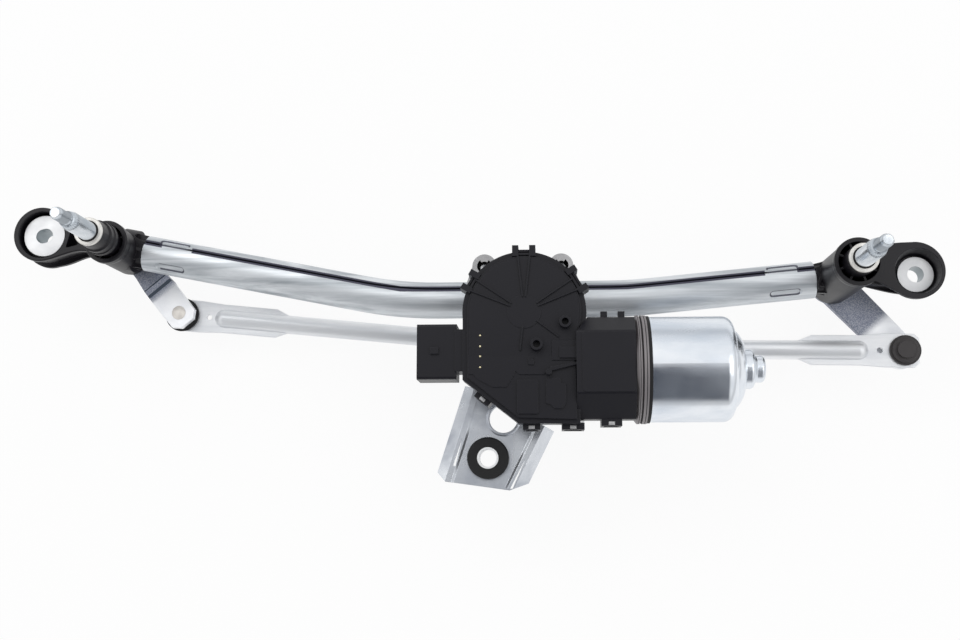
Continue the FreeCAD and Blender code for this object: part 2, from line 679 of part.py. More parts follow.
leftSlotDegrees = math.degrees(math.atan2(leftEarY - leftSpindleY, leftEarX - leftSpindleX)) + 180.0
earMount("right", rightEarX, rightEarY, rightWasherRadius, earTopZ - 11.0, earFloorLowZ - 6.5, False, 0)
earMount("left", leftEarX, leftEarY, leftWasherRadius, earTopZ - 4.5, leftFlangeZ + 0.5, True,
    leftSlotDegrees + 25.0)


# Spindle bushes and spindles
def bushPair(prefix, x, y):
    outer = spindleRadius + bushWall
    bore = spindleRadius + slideGap
    upper = turned([(bore, bushTopZ - bushLength), (outer, bushTopZ - bushLength),
                    (outer, bushTopZ - bushFlangeHeight), (bushFlangeRadius, bushTopZ - bushFlangeHeight),
                    (bushFlangeRadius, bushTopZ - 0.5), (bushFlangeRadius - 0.5, bushTopZ),
                    (sealRadius + slideGap, bushTopZ), (sealRadius + slideGap, bushTopZ - sealDepth),
                    (bore, bushTopZ - sealDepth)], x, y)
    lower = ring(outer, bore, housingBottomZ, housingBottomZ + bushLength, x, y)
    save(prefix + "_upper_bush", upper)
    save(prefix + "_lower_bush", lower)


def spindleShape(x, y, hubTopZ):
    footZ = hubTopZ - crankPlate - 1.2
    body = turned([(0, footZ), (spindleRadius + 0.5, footZ), (spindleRadius + 0.5, hubTopZ - crankPlate),
                   (spindleRadius - 1.0, hubTopZ - crankPlate), (spindleRadius - 1.0, hubTopZ),
                   (spindleRadius, hubTopZ), (spindleRadius, spindleKnurlZ - 0.9),
                   (spindleRadius - 0.5, spindleKnurlZ - 0.6), (spindleRadius - 0.5, spindleKnurlZ - 0.2),
                   (spindleRadius - 0.1, spindleKnurlZ), (knurlEndRadius, spindleThreadZ),
                   (threadRadius, spindleThreadZ), (threadRadius, spindleTipZ - 1.0),
                   (threadRadius - 1.0, spindleTipZ), (0, spindleTipZ)], x, y)
    grooves = []
    for step in range(24):
        angle = math.radians(15 * step)
        low, high = spindleRadius + 0.2, knurlEndRadius + 0.3
        grooves.append(cylAlong(0.45, Vec(x + low * math.cos(angle), y + low * math.sin(angle),
            spindleKnurlZ - 0.1),
                                Vec(x + high * math.cos(angle), y + high * math.sin(angle),
                                spindleThreadZ + 0.3)))
    return body.cut(grooves)


for prefix, x, y, hubTopZ in (("left", leftSpindleX, leftSpindleY, leftHubTopZ),
                              ("right", rightSpindleX, rightSpindleY, rightHubTopZ)):
    bushPair(prefix, x, y)
    save(prefix + "_spindle", spindleShape(x, y, hubTopZ))
    save(prefix + "_thrust_washer", ring(spindleRadius + 5.0, spindleRadius, hubTopZ,
        housingBottomZ - faceGap, x, y))
    sealTopZ = bushTopZ + sealRise
    seal = turned([(spindleRadius, bushTopZ - sealDepth), (sealRadius, bushTopZ - sealDepth),
                   (sealRadius, sealTopZ - 1.2), (sealRadius - 0.3, sealTopZ), (spindleRadius, sealTopZ)], x, y)
    save(prefix + "_spindle_seal", seal)

# Spindle cranks
seatRadius = spindleRadius - 1.0
studHole = 3.0
rightCrankLowZ = rightHubTopZ - crankPlate
rightCrank = fuse([
    cyl(13.5, rightCrankLowZ, rightHubTopZ, rightSpindleX, rightSpindleY),
    webBetween(rightSpindleX, rightSpindleY, 12.2, rightPinX, rightPinY, 11.0, rightCrankLowZ, rightHubTopZ),
    cyl(11.0, rightCrankLowZ, rightHubTopZ, rightPinX, rightPinY),
])
rightCrank = rightCrank.cut([cyl(seatRadius, -80, 80, rightSpindleX, rightSpindleY),
                             cyl(studHole, -80, 80, rightPinX, rightPinY)])
rightCrank = softEdges(rightCrank, 0.5, lyingAt(rightHubTopZ))
save("right_crank", rightCrank)

leftHubLowZ = leftHubTopZ - crankPlate
leftOuterTopZ = leftHubTopZ - leftJoggle
leftOuterLowZ = leftOuterTopZ - crankPlate
leftCrankWay = Vec(leftPinX - leftSpindleX, leftPinY - leftSpindleY, 0)
leftCrankLength = leftCrankWay.Length
leftCrankWay.normalize()
leftCrankSide = Vec(-leftCrankWay.y, leftCrankWay.x, 0)
joggleOuter = leftCrankLength - 17.7
joggleInner = leftCrankLength - 24.0
halfWide = 9.8
section = [(0, leftHubTopZ), (joggleInner, leftHubTopZ), (joggleOuter, leftOuterTopZ),
           (leftCrankLength + 11, leftOuterTopZ), (leftCrankLength + 11, leftOuterLowZ),
           (joggleOuter - 2.2, leftOuterLowZ), (joggleInner - 2.2, leftHubLowZ), (0, leftHubLowZ)]
hubCentre = Vec(leftSpindleX, leftSpindleY, 0)
corners = [hubCentre + leftCrankWay * a + Vec(0, 0, b) - leftCrankSide * (halfWide + 4) for a, b in section]
profileFace = Part.Face(Part.makePolygon(corners + [corners[0]]))
strap = profileFace.extrude(leftCrankSide * (2 * halfWide + 8))
planCorners = []
for along, across in ((0, -7.0), (14, -7.0), (joggleInner, -halfWide + 1.5), (joggleOuter, -halfWide),
                      (leftCrankLength + 5.2, -halfWide),
                      (leftCrankLength + 9.6, -halfWide + 4.6), (leftCrankLength + 9.6, halfWide - 4.6),
                      (leftCrankLength + 5.2, halfWide), (joggleInner, halfWide + 0.9), (14, 11.2), (0, 12.5)):
    spot = hubCentre + leftCrankWay * along + leftCrankSide * across
    planCorners.append((spot.x, spot.y))
plan = prism(planCorners, -90, 40)
leftCrank = strap.common(plan).fuse(cyl(12.0, leftHubLowZ, leftHubTopZ, leftSpindleX, leftSpindleY))
leftCrank = leftCrank.removeSplitter().cut([cyl(seatRadius, -80, 80, leftSpindleX, leftSpindleY),
                                            cyl(studHole, -80, 80, leftPinX, leftPinY)])
save("left_crank", leftCrank)


# Ball studs on the spindle cranks
def ballStud(x, y, plateLowZ, plateTopZ, ballZ, upward):
    if upward:
        faceZ, backZ, sign = plateTopZ, plateLowZ, 1
    else:
        faceZ, backZ, sign = plateLowZ, plateTopZ, -1
    low, high = sorted((faceZ, ballZ))
    neck = cyl(neckRadius, low, high, x, y)
    collar = sorted((faceZ, faceZ + sign * 1.0))
    foot = cyl(neckRadius + 1.1, collar[0], collar[1], x, y)
    shank = cyl(studHole, min(backZ, faceZ) - 0.0, max(backZ, faceZ), x, y)
    head = Part.makeSphere(7.4, Vec(x, y, backZ + sign * (math.sqrt(7.4 ** 2 - 4.8 ** 2))))
    head = head.common(cyl(8, min(backZ, backZ - sign * 3), max(backZ, backZ - sign * 3), x, y))
    return fuse([neck, foot, shank, Part.makeSphere(ballRadius, Vec(x, y, ballZ)), head])


save("left_ball_stud", ballStud(leftPinX, leftPinY, leftOuterLowZ, leftOuterTopZ, leftPlaneZ, False))
save("right_ball_stud", ballStud(rightPinX, rightPinY, rightCrankLowZ, rightHubTopZ, rightPlaneZ, True))

# Links: pressed tube ends with a raised bead running into the round rod
crankAngle = math.radians(crankRestDegrees)
crankPinX = outputX + crankRadius * math.cos(crankAngle)
crankPinY = outputY + crankRadius * math.sin(crankAngle)


def linkBar(length, overhang, flatLength, holeAt):
    half = linkWidth / 2
    low, high = -linkThickness / 2, linkThickness / 2
    outline = []
    for mirror in (0, 1):
        run = [(-overhang, half - 3.0), (-overhang + 3.0, half), (12.0, half), (28.0, linkWaist / 2),
               (flatLength, linkWaist / 2), (flatLength + flatTaper, rodRadius - 0.6)]
        if mirror:
            run = [(length - a, b) for a, b in reversed(run)]
        outline += run
    outline += [(a, -b) for a, b in reversed(outline)]
    pieces = [prism(outline, low, high)]
    pieces.append(cylAlong(rodRadius, Vec(beadStart, 0, 0), Vec(length - beadStart, 0, 0)))
    pieces.append(Part.makeSphere(rodRadius, Vec(beadStart, 0, 0)))
    pieces.append(Part.makeSphere(rodRadius, Vec(length - beadStart, 0, 0)))
    bar = fuse(pieces)
    holes = [cyl(socketRadius, -9, 9, 0, 0), cyl(socketRadius, -9, 9, length, 0),
             cyl(1.9, -9, 9, holeAt, 0), cyl(1.9, -9, 9, length - holeAt, 0)]
    return bar.cut(holes)


def socketShape(at, upward, through, capped, trim=0.0):
    cavity = ballRadius + slideGap
    sign = 1 if upward else -1
    rimHigh = linkThickness / 2 + 1.8
    body = [cyl(socketRadius, -5.6, 5.6), cyl(socketRimRadius - trim, linkThickness / 2, rimHigh),
            cyl(socketRimRadius - trim - 0.8, -linkThickness / 2 - 1.6, -linkThickness / 2)]
    if capped:
        body.append(cyl(socketRimRadius - 1.4, rimHigh, rimHigh + 2.0))
        body.append(cyl(5.6, rimHigh + 2.0, rimHigh + 4.6))
    shape = fuse(body)
    mouth = Part.makeCone(neckRadius + 0.6, neckRadius + 2.6, 7.0, Vec(0, 0, 0), Vec(0, 0, -1))
    tools = [Part.makeSphere(cavity), mouth]
    if through:
        tools.append(Part.makeCone(neckRadius + 0.6, neckRadius + 2.6, 7.0, Vec(0, 0, 0), Vec(0, 0, 1)))
    shape = shape.cut(tools)
    if not upward:
        shape.rotate(Vec(0, 0, 0), Vec(1, 0, 0), 180)
    shape.translate(Vec(at, 0, 0))
    return shape


def placed(shape, start, end):
    way = end - start
    flat = math.hypot(way.x, way.y)
    moved = shape.copy()
    moved.rotate(Vec(0, 0, 0), Vec(0, 1, 0), -math.degrees(math.atan2(way.z, flat)))
    moved.rotate(Vec(0, 0, 0), Vec(0, 0, 1), math.degrees(math.atan2(way.y, way.x)))
    moved.translate(start)
    return moved


leftPin = Vec(leftPinX, leftPinY, leftPlaneZ)
rightPin = Vec(rightPinX, rightPinY, rightPlaneZ)
upperPin = Vec(crankPinX, crankPinY, upperPlaneZ)
lowerPin = Vec(crankPinX, crankPinY, lowerPlaneZ)
leftLength = (lowerPin - leftPin).Length
rightLength = (upperPin - rightPin).Length
save("left_link", placed(linkBar(leftLength, leftLinkOverhang, leftFlatLength, leftLinkHole), leftPin, lowerPin))
save("right_link", placed(linkBar(rightLength, rightLinkOverhang, rightFlatLength, rightLinkHole), rightPin,
    upperPin))
save("left_link_outer_socket", placed(socketShape(0, False, False, False, leftRimTrim), leftPin, lowerPin))
save("left_link_inner_socket", placed(socketShape(leftLength, False, False, True), leftPin, lowerPin))
save("right_link_outer_socket", placed(socketShape(0, True, False, True), rightPin, upperPin))
save("right_link_inner_socket", placed(socketShape(rightLength, True, True, False), rightPin, upperPin))

# Motor crank, its nut and the two stacked crank studs
armLowZ = armTopZ - armThickness
nutLowZ = armLowZ - nutHeight
motorCrank = fuse([
    cyl(12.0, armLowZ, armTopZ, outputX, outputY),
    cyl(neckRadius + 1.4, nutLowZ, armLowZ + 1, crankPinX, crankPinY),
    webBetween(outputX, outputY, 10.5, crankPinX, crankPinY, 8.5, armLowZ, armTopZ),
    cyl(9.0, armLowZ, armTopZ, crankPinX, crankPinY),
]).cut(cyl(outputRadius, -80, 80, outputX, outputY))
motorCrank = softEdges(motorCrank, 0.8, lyingAt(armLowZ))
save("motor_crank", motorCrank)
nut = hexPrism(nutAcrossFlats, nutLowZ, armLowZ, outputX, outputY).cut(cyl(threadRadius, -80, 80, outputX,
    outputY))
save("crank_nut", nut)
upperTopZ = nutLowZ - faceGap
upperFootZ = (upperPlaneZ + lowerPlaneZ) / 2 + 0.6
upperStud = fuse([
    cyl(neckRadius + 1.4, upperTopZ - 1.4, upperTopZ, crankPinX, crankPinY),
    cyl(neckRadius, upperFootZ, upperTopZ, crankPinX, crankPinY),
    Part.makeSphere(ballRadius, upperPin),
])
lowerTopZ = upperFootZ - faceGap
lowerStud = fuse([cyl(neckRadius, lowerPlaneZ, lowerTopZ, crankPinX, crankPinY), Part.makeSphere(ballRadius,
    lowerPin)])
save("upper_crank_stud", upperStud)
save("lower_crank_stud", lowerStud)

# Output shaft, its bush and the worm wheel
wheelMidZ = canAxisZ
wheelLowZ = wheelMidZ - wheelThickness / 2
wheelTopZ = wheelMidZ + wheelThickness / 2
shaftEndZ = nutLowZ + 0.6
outputShaft = turned([
    (0, shaftEndZ), (threadRadius - 0.8, shaftEndZ), (threadRadius, shaftEndZ + 0.8), (threadRadius, armLowZ),
    (outputRadius, armLowZ), (outputRadius, wheelTopZ + 4.0), (outputRadius - 0.8, wheelTopZ + 4.8),
    (0, wheelTopZ + 4.8),
], outputX, outputY)
save("output_shaft", outputShaft)
wheel = fuse([
    ring(wheelRadius - 2.2, wheelRadius - 7.0, wheelLowZ, wheelTopZ, outputX, outputY),
    cyl(wheelRadius - 6.0, wheelLowZ + 2.6, wheelTopZ - 2.6, outputX, outputY),
    cyl(10.0, wheelLowZ - 1.5, wheelTopZ + 1.5, outputX, outputY),
])
teeth = []
for step in range(wheelTeeth):
    angle = 2 * math.pi * step / wheelTeeth
    spread = math.pi / wheelTeeth
    points = []
    for radius, share in ((wheelRadius - 2.6, -0.62), (wheelRadius, -0.32), (wheelRadius, 0.32),
                          (wheelRadius - 2.6, 0.62)):
        turn = angle + share * spread
        points.append((outputX + radius * math.cos(turn), outputY + radius * math.sin(turn)))
    teeth.append(prism(points, wheelLowZ, wheelTopZ))
wheel = wheel.multiFuse(teeth)
wheelHoles = [cyl(outputRadius, -80, 90, outputX, outputY)]
for step in range(6):
    angle = math.radians(60 * step)
    wheelHoles.append(cyl(2.2, wheelLowZ - 5, wheelTopZ + 5, outputX + 14.4 * math.cos(angle),
                          outputY + 14.4 * math.sin(angle)))
wheel = wheel.cut(wheelHoles)
save("worm_wheel", wheel)
bossLowZ = armTopZ + faceGap
cavityLowZ = wheelLowZ - 1.5 - faceGap
outputBush = ring(outputRadius + outputBushWall, outputRadius + slideGap, bossLowZ, cavityLowZ, outputX, outputY)
save("output_bush", outputBush)

# Gear housing: die-cast tray, output boss, worm tunnel, motor flange, three fixing lugs
trayEdge = [
    (-10.4, 77.0), (-10.4, 47.6), (22.4, 22.0), (boxStartX + 6, 21.2), (boxStartX + 6, 82.0),
    (coverCentreX + coverRadius - 3, 92.0),
]
trayInset = 1.2


def insetOutline(points, amount, midX, midY):
    moved = []
    for x, y in points:
        reach = math.hypot(x - midX, y - midY)
        moved.append((x + (midX - x) * amount / reach, y + (midY - y) * amount / reach))
    return moved


trayPrism = prism(insetOutline(trayEdge, trayInset, 24, 60), housingBaseZ, partingZ)
trayRound = cyl(coverRadius - trayInset, housingBaseZ, partingZ, coverCentreX, coverCentreY)
flangeOuter = canRadius + 1.0
motorNeck = cylAlongX(canRadius - 3.2, boxStartX - 4, flangeStartX, canAxisY, canAxisZ)
motorNeck = motorNeck.common(block(boxStartX - 10, flangeStartX + 5, -50, 150, -20, partingZ))
flange = turnedX([
    (flangeStartX, 0), (flangeStartX, flangeOuter - 1.8), (flangeStartX + 1.4, flangeOuter),
    (flangeStartX + 3.0, flangeOuter), (flangeStartX + 3.6, flangeOuter - 0.9), (flangeStartX + 4.2, flangeOuter),
    (canStartX - 2.0, flangeOuter), (canStartX - 2.0, 0),
], canAxisY, canAxisZ)
housingParts = [trayPrism, trayRound, motorNeck, flange]
housingParts.append(cyl(outputBossRadius, bossLowZ, housingBaseZ + 1, outputX, outputY))
housingParts.append(cyl(outputBossRadius + 3.6, plateBottomZ - 0.0, housingBaseZ + 1, outputX, outputY))
for lugX, lugSpotY in lugSpots:
    housingParts.append(cyl(lugRadius, housingBaseZ, lugTopZ, lugX, lugSpotY))
    rootX = lugMidX + (lugX - lugMidX) * 1.16
    housingParts.append(webBetween(coverCentreX, coverCentreY, 14, lugX, lugSpotY, lugRadius - 0.2, housingBaseZ,
                                   lugTopZ - 2.0))
    housingParts.append(webBetween(rootX, lugSpotY - 12.3, lugRadius, lugX, lugSpotY, lugRadius - 0.2,
                                   housingBaseZ, lugTopZ - 2.0))
    housingParts.append(cyl(lugRadius, housingBaseZ, lugTopZ - 2.0, rootX, lugSpotY - 12.3))
gearHousing = fuse(housingParts)
gearHollows = [
    cyl(wheelRadius + 1.2, cavityLowZ, partingZ + 5, outputX, outputY),
    cyl(outputRadius + outputBushWall, bossLowZ - 5, partingZ, outputX, outputY),
    cylAlongX(wormRadius + 1.2, -2.0, 54.0, canAxisY, canAxisZ),
    cylAlongX(shaftRadius + slideGap, 50.0, 70.0, canAxisY, canAxisZ),
    cylAlongX(canRadius - 6.0, 62.0, canStartX + 5, canAxisY, canAxisZ),
    block(-6.0, 8.0, 50.0, 66.0, cavityLowZ + 2, partingZ + 5),
    cyl(collarOut + bodyGap, plateTopZ - 1, plateTopZ + 1.3, plateHoleX, plateHoleY),
    cyl(lugHole - 0.3, housingBaseZ - 10, housingBaseZ + 9.0, lowLug[0], lowLug[1]),
]
for lugX, lugSpotY in lugSpots:
    gearHollows.append(cyl(lugHole - 0.3, housingBaseZ - 5, lugTopZ + 5, lugX, lugSpotY))
    well = cyl(lugWellRadius, lugTopZ - lugWellDepth, lugTopZ + 5, lugX, lugSpotY)
    gearHollows.append(well.cut(cyl(lugPillar, lugTopZ - lugWellDepth, lugTopZ + 5, lugX,
        lugSpotY + lugWellRadius)))
gearHousing = gearHousing.cut(gearHollows)
save("gear_housing", gearHousing)

# Gear cover: moulded lid with ribs, raised areas, brush box, towers and the plug shell
coverEdge = [
    (-13.1, 84.0), (-13.1, 45.4), (20.6, 19.2), (boxStartX + 2, 18.8), (boxStartX + 2, 84.0),
    (coverCentreX + coverRadius - 6, 96.0),
]
lidOuter = fuse([prism(coverEdge, partingZ, skirtTopZ),
                 cyl(coverRadius, partingZ, skirtTopZ, coverCentreX, coverCentreY)])
lidInner = fuse([prism(insetOutline(coverEdge, coverWall, 24, 60), partingZ - 1, skirtTopZ - coverWall),
                 cyl(coverRadius - coverWall, partingZ - 1, skirtTopZ - coverWall, coverCentreX, coverCentreY)])
discStep = coverRadius - coverDiscRadius
lidTop = fuse([prism(insetOutline(coverEdge, discStep, 24, 60), skirtTopZ - 0.2, coverTopZ),
               cyl(coverDiscRadius, skirtTopZ - 0.2, coverTopZ, coverCentreX, coverCentreY)])


# brush box: sloped along its two long sides, with one corner cut off in plan
def boxShape(inset, xLow, xHigh, foot):
    section = [(boxLowY + inset, foot), (boxLowY + inset, 47.0 - 0.42 * inset),
               (boxPanelLowY + 0.42 * inset, boxTopZ - inset), (boxPanelTopY - 0.42 * inset, boxTopZ - inset),
               (boxTopY - inset, 50.0 - 0.42 * inset), (boxTopY - inset, foot)]
    corners = [Vec(xLow, y, z) for y, z in section]
    body = Part.Face(Part.makePolygon(corners + [corners[0]])).extrude(Vec(xHigh - xLow, 0, 0))
    start, way = Vec(boxStartX - 0.5, 72.5, 0), Vec(0.568, 0.823, 0)
    outward = Vec(-way.y, way.x, 0)
    spots = [start - way * 15 - outward * inset, start + way * 30 - outward * inset,
             start + way * 30 + outward * 20, start - way * 15 + outward * 20]
    return body.cut(prism([(spot.x, spot.y) for spot in spots], foot - 5, boxTopZ + 5))


boxOuter = boxShape(0.0, boxStartX, flangeStartX - 0.2, partingZ - 4.0)
boxOuter = softEdges(boxOuter, 2.0, lambda edge: edge.BoundBox.XLength > 20 and edge.BoundBox.ZMin > 45.0)
boxPanel = softEdges(block(boxStartX + 3.4, flangeStartX - 1.2, boxPanelLowY + 0.6, boxPanelTopY - 0.6,
    boxTopZ - 1,
                           boxTopZ + 0.6), 2.4, standing)
boxInner = boxShape(coverWall, boxStartX + coverWall, flangeStartX + 5, partingZ - 9.0)
plugLowY, plugTopY = 46.1, 80.0
plugStartX, plugEndX = -41.3, -17.0
plugLowZ, plugTopZ = 27.0, 50.0
plug = block(plugStartX, plugEndX, plugLowY, plugTopY, plugLowZ, plugTopZ)
plug = softEdges(plug, 1.6, lambda edge: edge.BoundBox.XLength > 20)
neckBlock = block(plugEndX - 1, -9.0, plugLowY + 4.6, plugTopY - 3.5, plugLowZ + 4, plugTopZ + 1.0)
plugInner = block(plugStartX - 5, plugEndX - 3.0, plugLowY + 2.0, plugTopY - 2.0, plugLowZ + 2.0, plugTopZ - 2.0)
coverParts = [lidOuter, lidTop, boxOuter, boxPanel, plug, neckBlock]
coverParts.append(cyl(10.4, coverTopZ - 1, coverTopZ + 0.9, coverCentreX, coverCentreY))


ribHeight = 1.8


def topRib(startRadius, endRadius, degrees, width, offset, high):
    rib = block(startRadius, endRadius, -width / 2 + offset, width / 2 + offset, coverTopZ - 3.0, high)
    rib.rotate(Vec(0, 0, 0), Vec(0, 0, 1), degrees)
    rib.translate(Vec(coverCentreX, coverCentreY, 0))
    return rib


for degrees in (96.0, 84.0, 158.0, 146.0, 34.0, 22.0):
    coverParts.append(topRib(9.0, coverDiscRadius + 0.6, degrees, 0.9, 0.0, coverTopZ + ribHeight))
for degrees in (-37.0, -96.0):
    coverParts.append(topRib(9.0, 24.0 if degrees < -50 else 26.0, degrees, 0.9, 0.0, coverTopZ + ribHeight))
for degrees, spread in ((90.0, 5.2), (149.5, 4.9), (31.5, 6.6)):
    clip = []
    for side in (-1, 1):
        clip.append(block(coverRadius - 3.4, coverRadius + 3.4, side * spread - 1.9, side * spread + 1.9,
            partingZ + 2,
                          coverTopZ + 0.6))
    for nearR, farR, high in ((coverRadius - 2.6, coverRadius - 1.2, coverTopZ - 0.5),
                              (coverRadius - 0.4, coverRadius + 1.0, coverTopZ - 1.4)):
        clip.append(block(nearR, farR, -spread, spread, partingZ + 2, high))
    for piece in clip:
        piece.rotate(Vec(0, 0, 0), Vec(0, 0, 1), degrees)
        piece.translate(Vec(coverCentreX, coverCentreY, 0))
    coverParts += clip
towers = [(48.9, 79.2, 3.6, 7.0), (31.7, 65.8, 3.7, 6.5)]
for towerX, towerY, towerR, towerH in towers:
    coverParts.append(cyl(towerR, coverTopZ - 1, coverTopZ + towerH, towerX, towerY))
coverParts.append(cyl(1.85, coverTopZ - 1, coverTopZ + 3.6, 38.8, 49.4))
coverParts.append(block(26.7, 30.0, 53.9, 57.5, coverTopZ - 1, coverTopZ + 1.6))
coverParts.append(softEdges(block(19.8, 32.4, 24.5, 44.9, coverTopZ - 1, coverTopZ + 1.4), 1.2, standing))
wavyEdge = [(37.2, 45.6), (45.7, 46.1), (46.1, 42.5), (49.2, 42.2), (49.1, 31.3), (46.8, 27.6), (42.2, 27.6),
            (39.7, 30.0), (37.0, 30.7)]
coverParts.append(softEdges(prism(wavyEdge, coverTopZ - 1, coverTopZ + 1.1), 0.9, standing))
coverParts.append(prism([(38.8, 49.6), (39.9, 52.5), (boxStartX + 1, 55.6), (boxStartX + 1, 54.0)], coverTopZ - 1,
                        coverTopZ + 2.4))
coverParts.append(block(40.7, boxStartX + 1, 56.5, 68.6, coverTopZ - 1, coverTopZ + 1.2))
coverParts.append(block(45.3, boxStartX + 1, 57.8, 64.4, coverTopZ - 1, coverTopZ + 2.4))
# the lid's upper area stands a little higher than the area round the two raised fields
raisedEdge = [(-12.2, 48.3), (-6.5, 48.2), (-3.6, 45.2), (5.2, 40.6), (13.4, 40.5), (18.0, 47.4), (18.7, 50.5),
              (21.1, 48.1), (35.9, 48.0), (38.5, 49.9), (54.7, 55.1), (54.7, 60.0), (-12.2, 60.0)]
raisedArea = prism(raisedEdge, coverTopZ - 1, coverTopZ + 0.6)
raisedArea = raisedArea.common(prism(insetOutline(coverEdge, discStep + 0.8, 24, 60), coverTopZ - 1,
    coverTopZ + 2))
coverParts.append(raisedArea)


# small clips on the motor side of the brush box, and a key on the plug shell
for x in (72.5, 83.0):
    coverParts.append(block(x - 2.0, x + 2.0, boxTopY - 1.0, boxTopY + 3.6, boxTopZ - 17.0, boxTopZ - 12.0))
coverParts.append(block(-33.0, -28.0, 61.4, 65.6, plugTopZ - 1.0, plugTopZ + 1.6))


# snap clips along the lower edge, each a frame standing proud of the wall
def snapFrame(x, y, degrees, width):
    outer = block(-width / 2, width / 2, -3.2, 1.0, partingZ - 9.0, partingZ + 8.0)
    window = block(-width / 2 + 1.6, width / 2 - 1.6, -6.0, -0.9, partingZ - 7.0, partingZ + 3.5)
    frameShape = outer.cut(window)
    frameShape.rotate(Vec(0, 0, 0), Vec(0, 0, 1), degrees)
    frameShape.translate(Vec(x, y, 0))
    return frameShape


diagonal = math.degrees(math.atan2(19.2 - 45.4, 20.6 + 13.1))
for x, y, degrees, wide in ((-0.4, 35.5, diagonal, 10.5), (28.3, 18.8, 0.0, 10.6), (53.2, 18.8, 0.0, 13.6),
                            (76.3, boxLowY - 0.6, 0.0, 12.4)):
    coverParts.append(snapFrame(x, y, degrees, wide))
for y in (71.9, 65.3, 59.2, 52.6):
    coverParts.append(cyl(1.6, coverTopZ - 1.5, coverTopZ + 0.25, -2.3, y))
gearCover = fuse(coverParts)
coverHollows = [lidInner, boxInner, plugInner, block(boxStartX - 3, boxStartX + 6, 30, 76, partingZ - 1,
    coverTopZ - 5)]
for towerX, towerY, towerR, towerH in towers:
    coverHollows.append(cyl(towerR - 1.5, coverTopZ + 1.0, coverTopZ + towerH + 2, towerX, towerY))
coverHollows.append(prism(insetOutline(trayEdge, trayInset, 24, 60), partingZ - 12, partingZ))
coverHollows.append(motorNeck)
coverHollows.append(cyl(coverRadius - trayInset + 0.1, partingZ - 12, partingZ, coverCentreX, coverCentreY))
gearCover = gearCover.cut(coverHollows)
save("gear_cover", gearCover)

# Plug contacts
plugMidY = (plugLowY + plugTopY) / 2
for number, y in enumerate((plugMidY - 10.35, plugMidY - 3.45, plugMidY + 3.45, plugMidY + 10.35)):
    contact = block(plugStartX + 6.0, plugEndX - 3.0, y - 1.0, y + 1.0, 37.7, 38.7)
    save("plug_contact_" + str(number + 1), contact)

# Motor can: drawn steel cup with a stepped bearing pocket
canInner = canRadius - canWall
bearingSeat = canTipRadius - canWall
canProfile = [
    (canStartX, canRadius), (canCornerX, canRadius),
    (canCornerX + 4.95, canRadius - 1.9, canShoulderX, canRadius - 6.5), (canShoulderX, canRadius - 7.5),
    (canDomeX - 1.9, canBossRadius + 7.5, canDomeX, canBossRadius + 0.4), (canDomeX + 0.3, canBossRadius),
    (canBossX - 2.4, canBossRadius), (canBossX - 0.7, canBossRadius - 0.8, canBossX, canTipRadius + 0.9),
    (canBossX + 1.4, canTipRadius), (canTipX - 2.2, canTipRadius),
    (canTipX - 0.6, canTipRadius - 0.8, canTipX, canTipRadius - 2.4), (canTipX, 0), (canTipX - canWall, 0),
    (canTipX - canWall, bearingSeat), (canBossX - 0.6, bearingSeat), (canBossX - canWall,
        canBossRadius - canWall),
    (canDomeX - 1.2, canBossRadius - canWall), (canDomeX - 1.8, canBossRadius - 0.7),
    (canDomeX - 3.5, canBossRadius + 6.3, canShoulderX - 1.9, canRadius - 8.5), (canShoulderX - 1.9,
        canRadius - 7.5),
    (canCornerX + 3.6, canRadius - 3.4, canCornerX, canInner), (canStartX, canInner),
]
canShape = turnedRound(canProfile, canAxisY, canAxisZ)
save("motor_can", canShape)
sealRing = turnedX([(canStartX - 2.0, canRadius - 4.0), (canStartX - 2.0, canRadius + 0.6),
                    (canStartX, canRadius + 0.6), (canStartX, canRadius - 4.0)], canAxisY, canAxisZ)
save("can_seal_ring", sealRing)

# Armature: shaft with worm, laminated core, commutator; bearings, magnets, brushes
shaftLeftX = 2.0
shaftRightX = canTipX - 3.0
worm = [(shaftLeftX, 0), (shaftLeftX, shaftRadius)]
wormStart, wormEnd, wormPitch = 6.0, 44.0, 2.8
position = wormStart
while position + wormPitch <= wormEnd:
    worm += [(position, shaftRadius), (position + 0.9, wormRadius), (position + 1.7, wormRadius),
             (position + 2.6, shaftRadius)]
    position += wormPitch
worm += [(shaftRightX, shaftRadius), (shaftRightX, 0)]
save("armature_shaft", turnedX(worm, canAxisY, canAxisZ))
coreStartX, coreEndX = canStartX + 4.0, canCornerX - 4.0
core = cylAlongX(armatureRadius, coreStartX, coreEndX, canAxisY, canAxisZ).cut(
    cylAlongX(shaftRadius, coreStartX - 5, coreEndX + 5, canAxisY, canAxisZ))
slots = []
for step in range(12):
    slot = block(coreStartX - 5, coreEndX + 5, armatureRadius - 8.0, armatureRadius + 2, -1.2, 1.2)
    slot = slot.fuse(cylAlongX(2.6, coreStartX - 5, coreEndX + 5, armatureRadius - 8.5, 0))
    slot.rotate(Vec(0, 0, 0), Vec(1, 0, 0), 30 * step)
    slot.translate(Vec(0, canAxisY, canAxisZ))
    slots.append(slot)
core = core.cut(slots)
save("armature_core", core)
commutatorRadius, commutatorStartX, commutatorEndX = 10.0, 80.0, 94.0
commutator = cylAlongX(commutatorRadius, commutatorStartX, commutatorEndX, canAxisY, canAxisZ).cut(
    cylAlongX(shaftRadius, commutatorStartX - 5, commutatorEndX + 5, canAxisY, canAxisZ))
save("commutator", commutator)
rearBushStartX, rearBushEndX = canBossX - 0.2, canTipX - canWall - 0.3
rearBush = cylAlongX(bearingSeat, rearBushStartX, rearBushEndX, canAxisY, canAxisZ).cut(
    cylAlongX(shaftRadius + slideGap, rearBushStartX - 5, rearBushEndX + 5, canAxisY, canAxisZ))
save("rear_bearing", rearBush)
magnetStartX, magnetEndX = canStartX + 2.0, canCornerX - 2.0
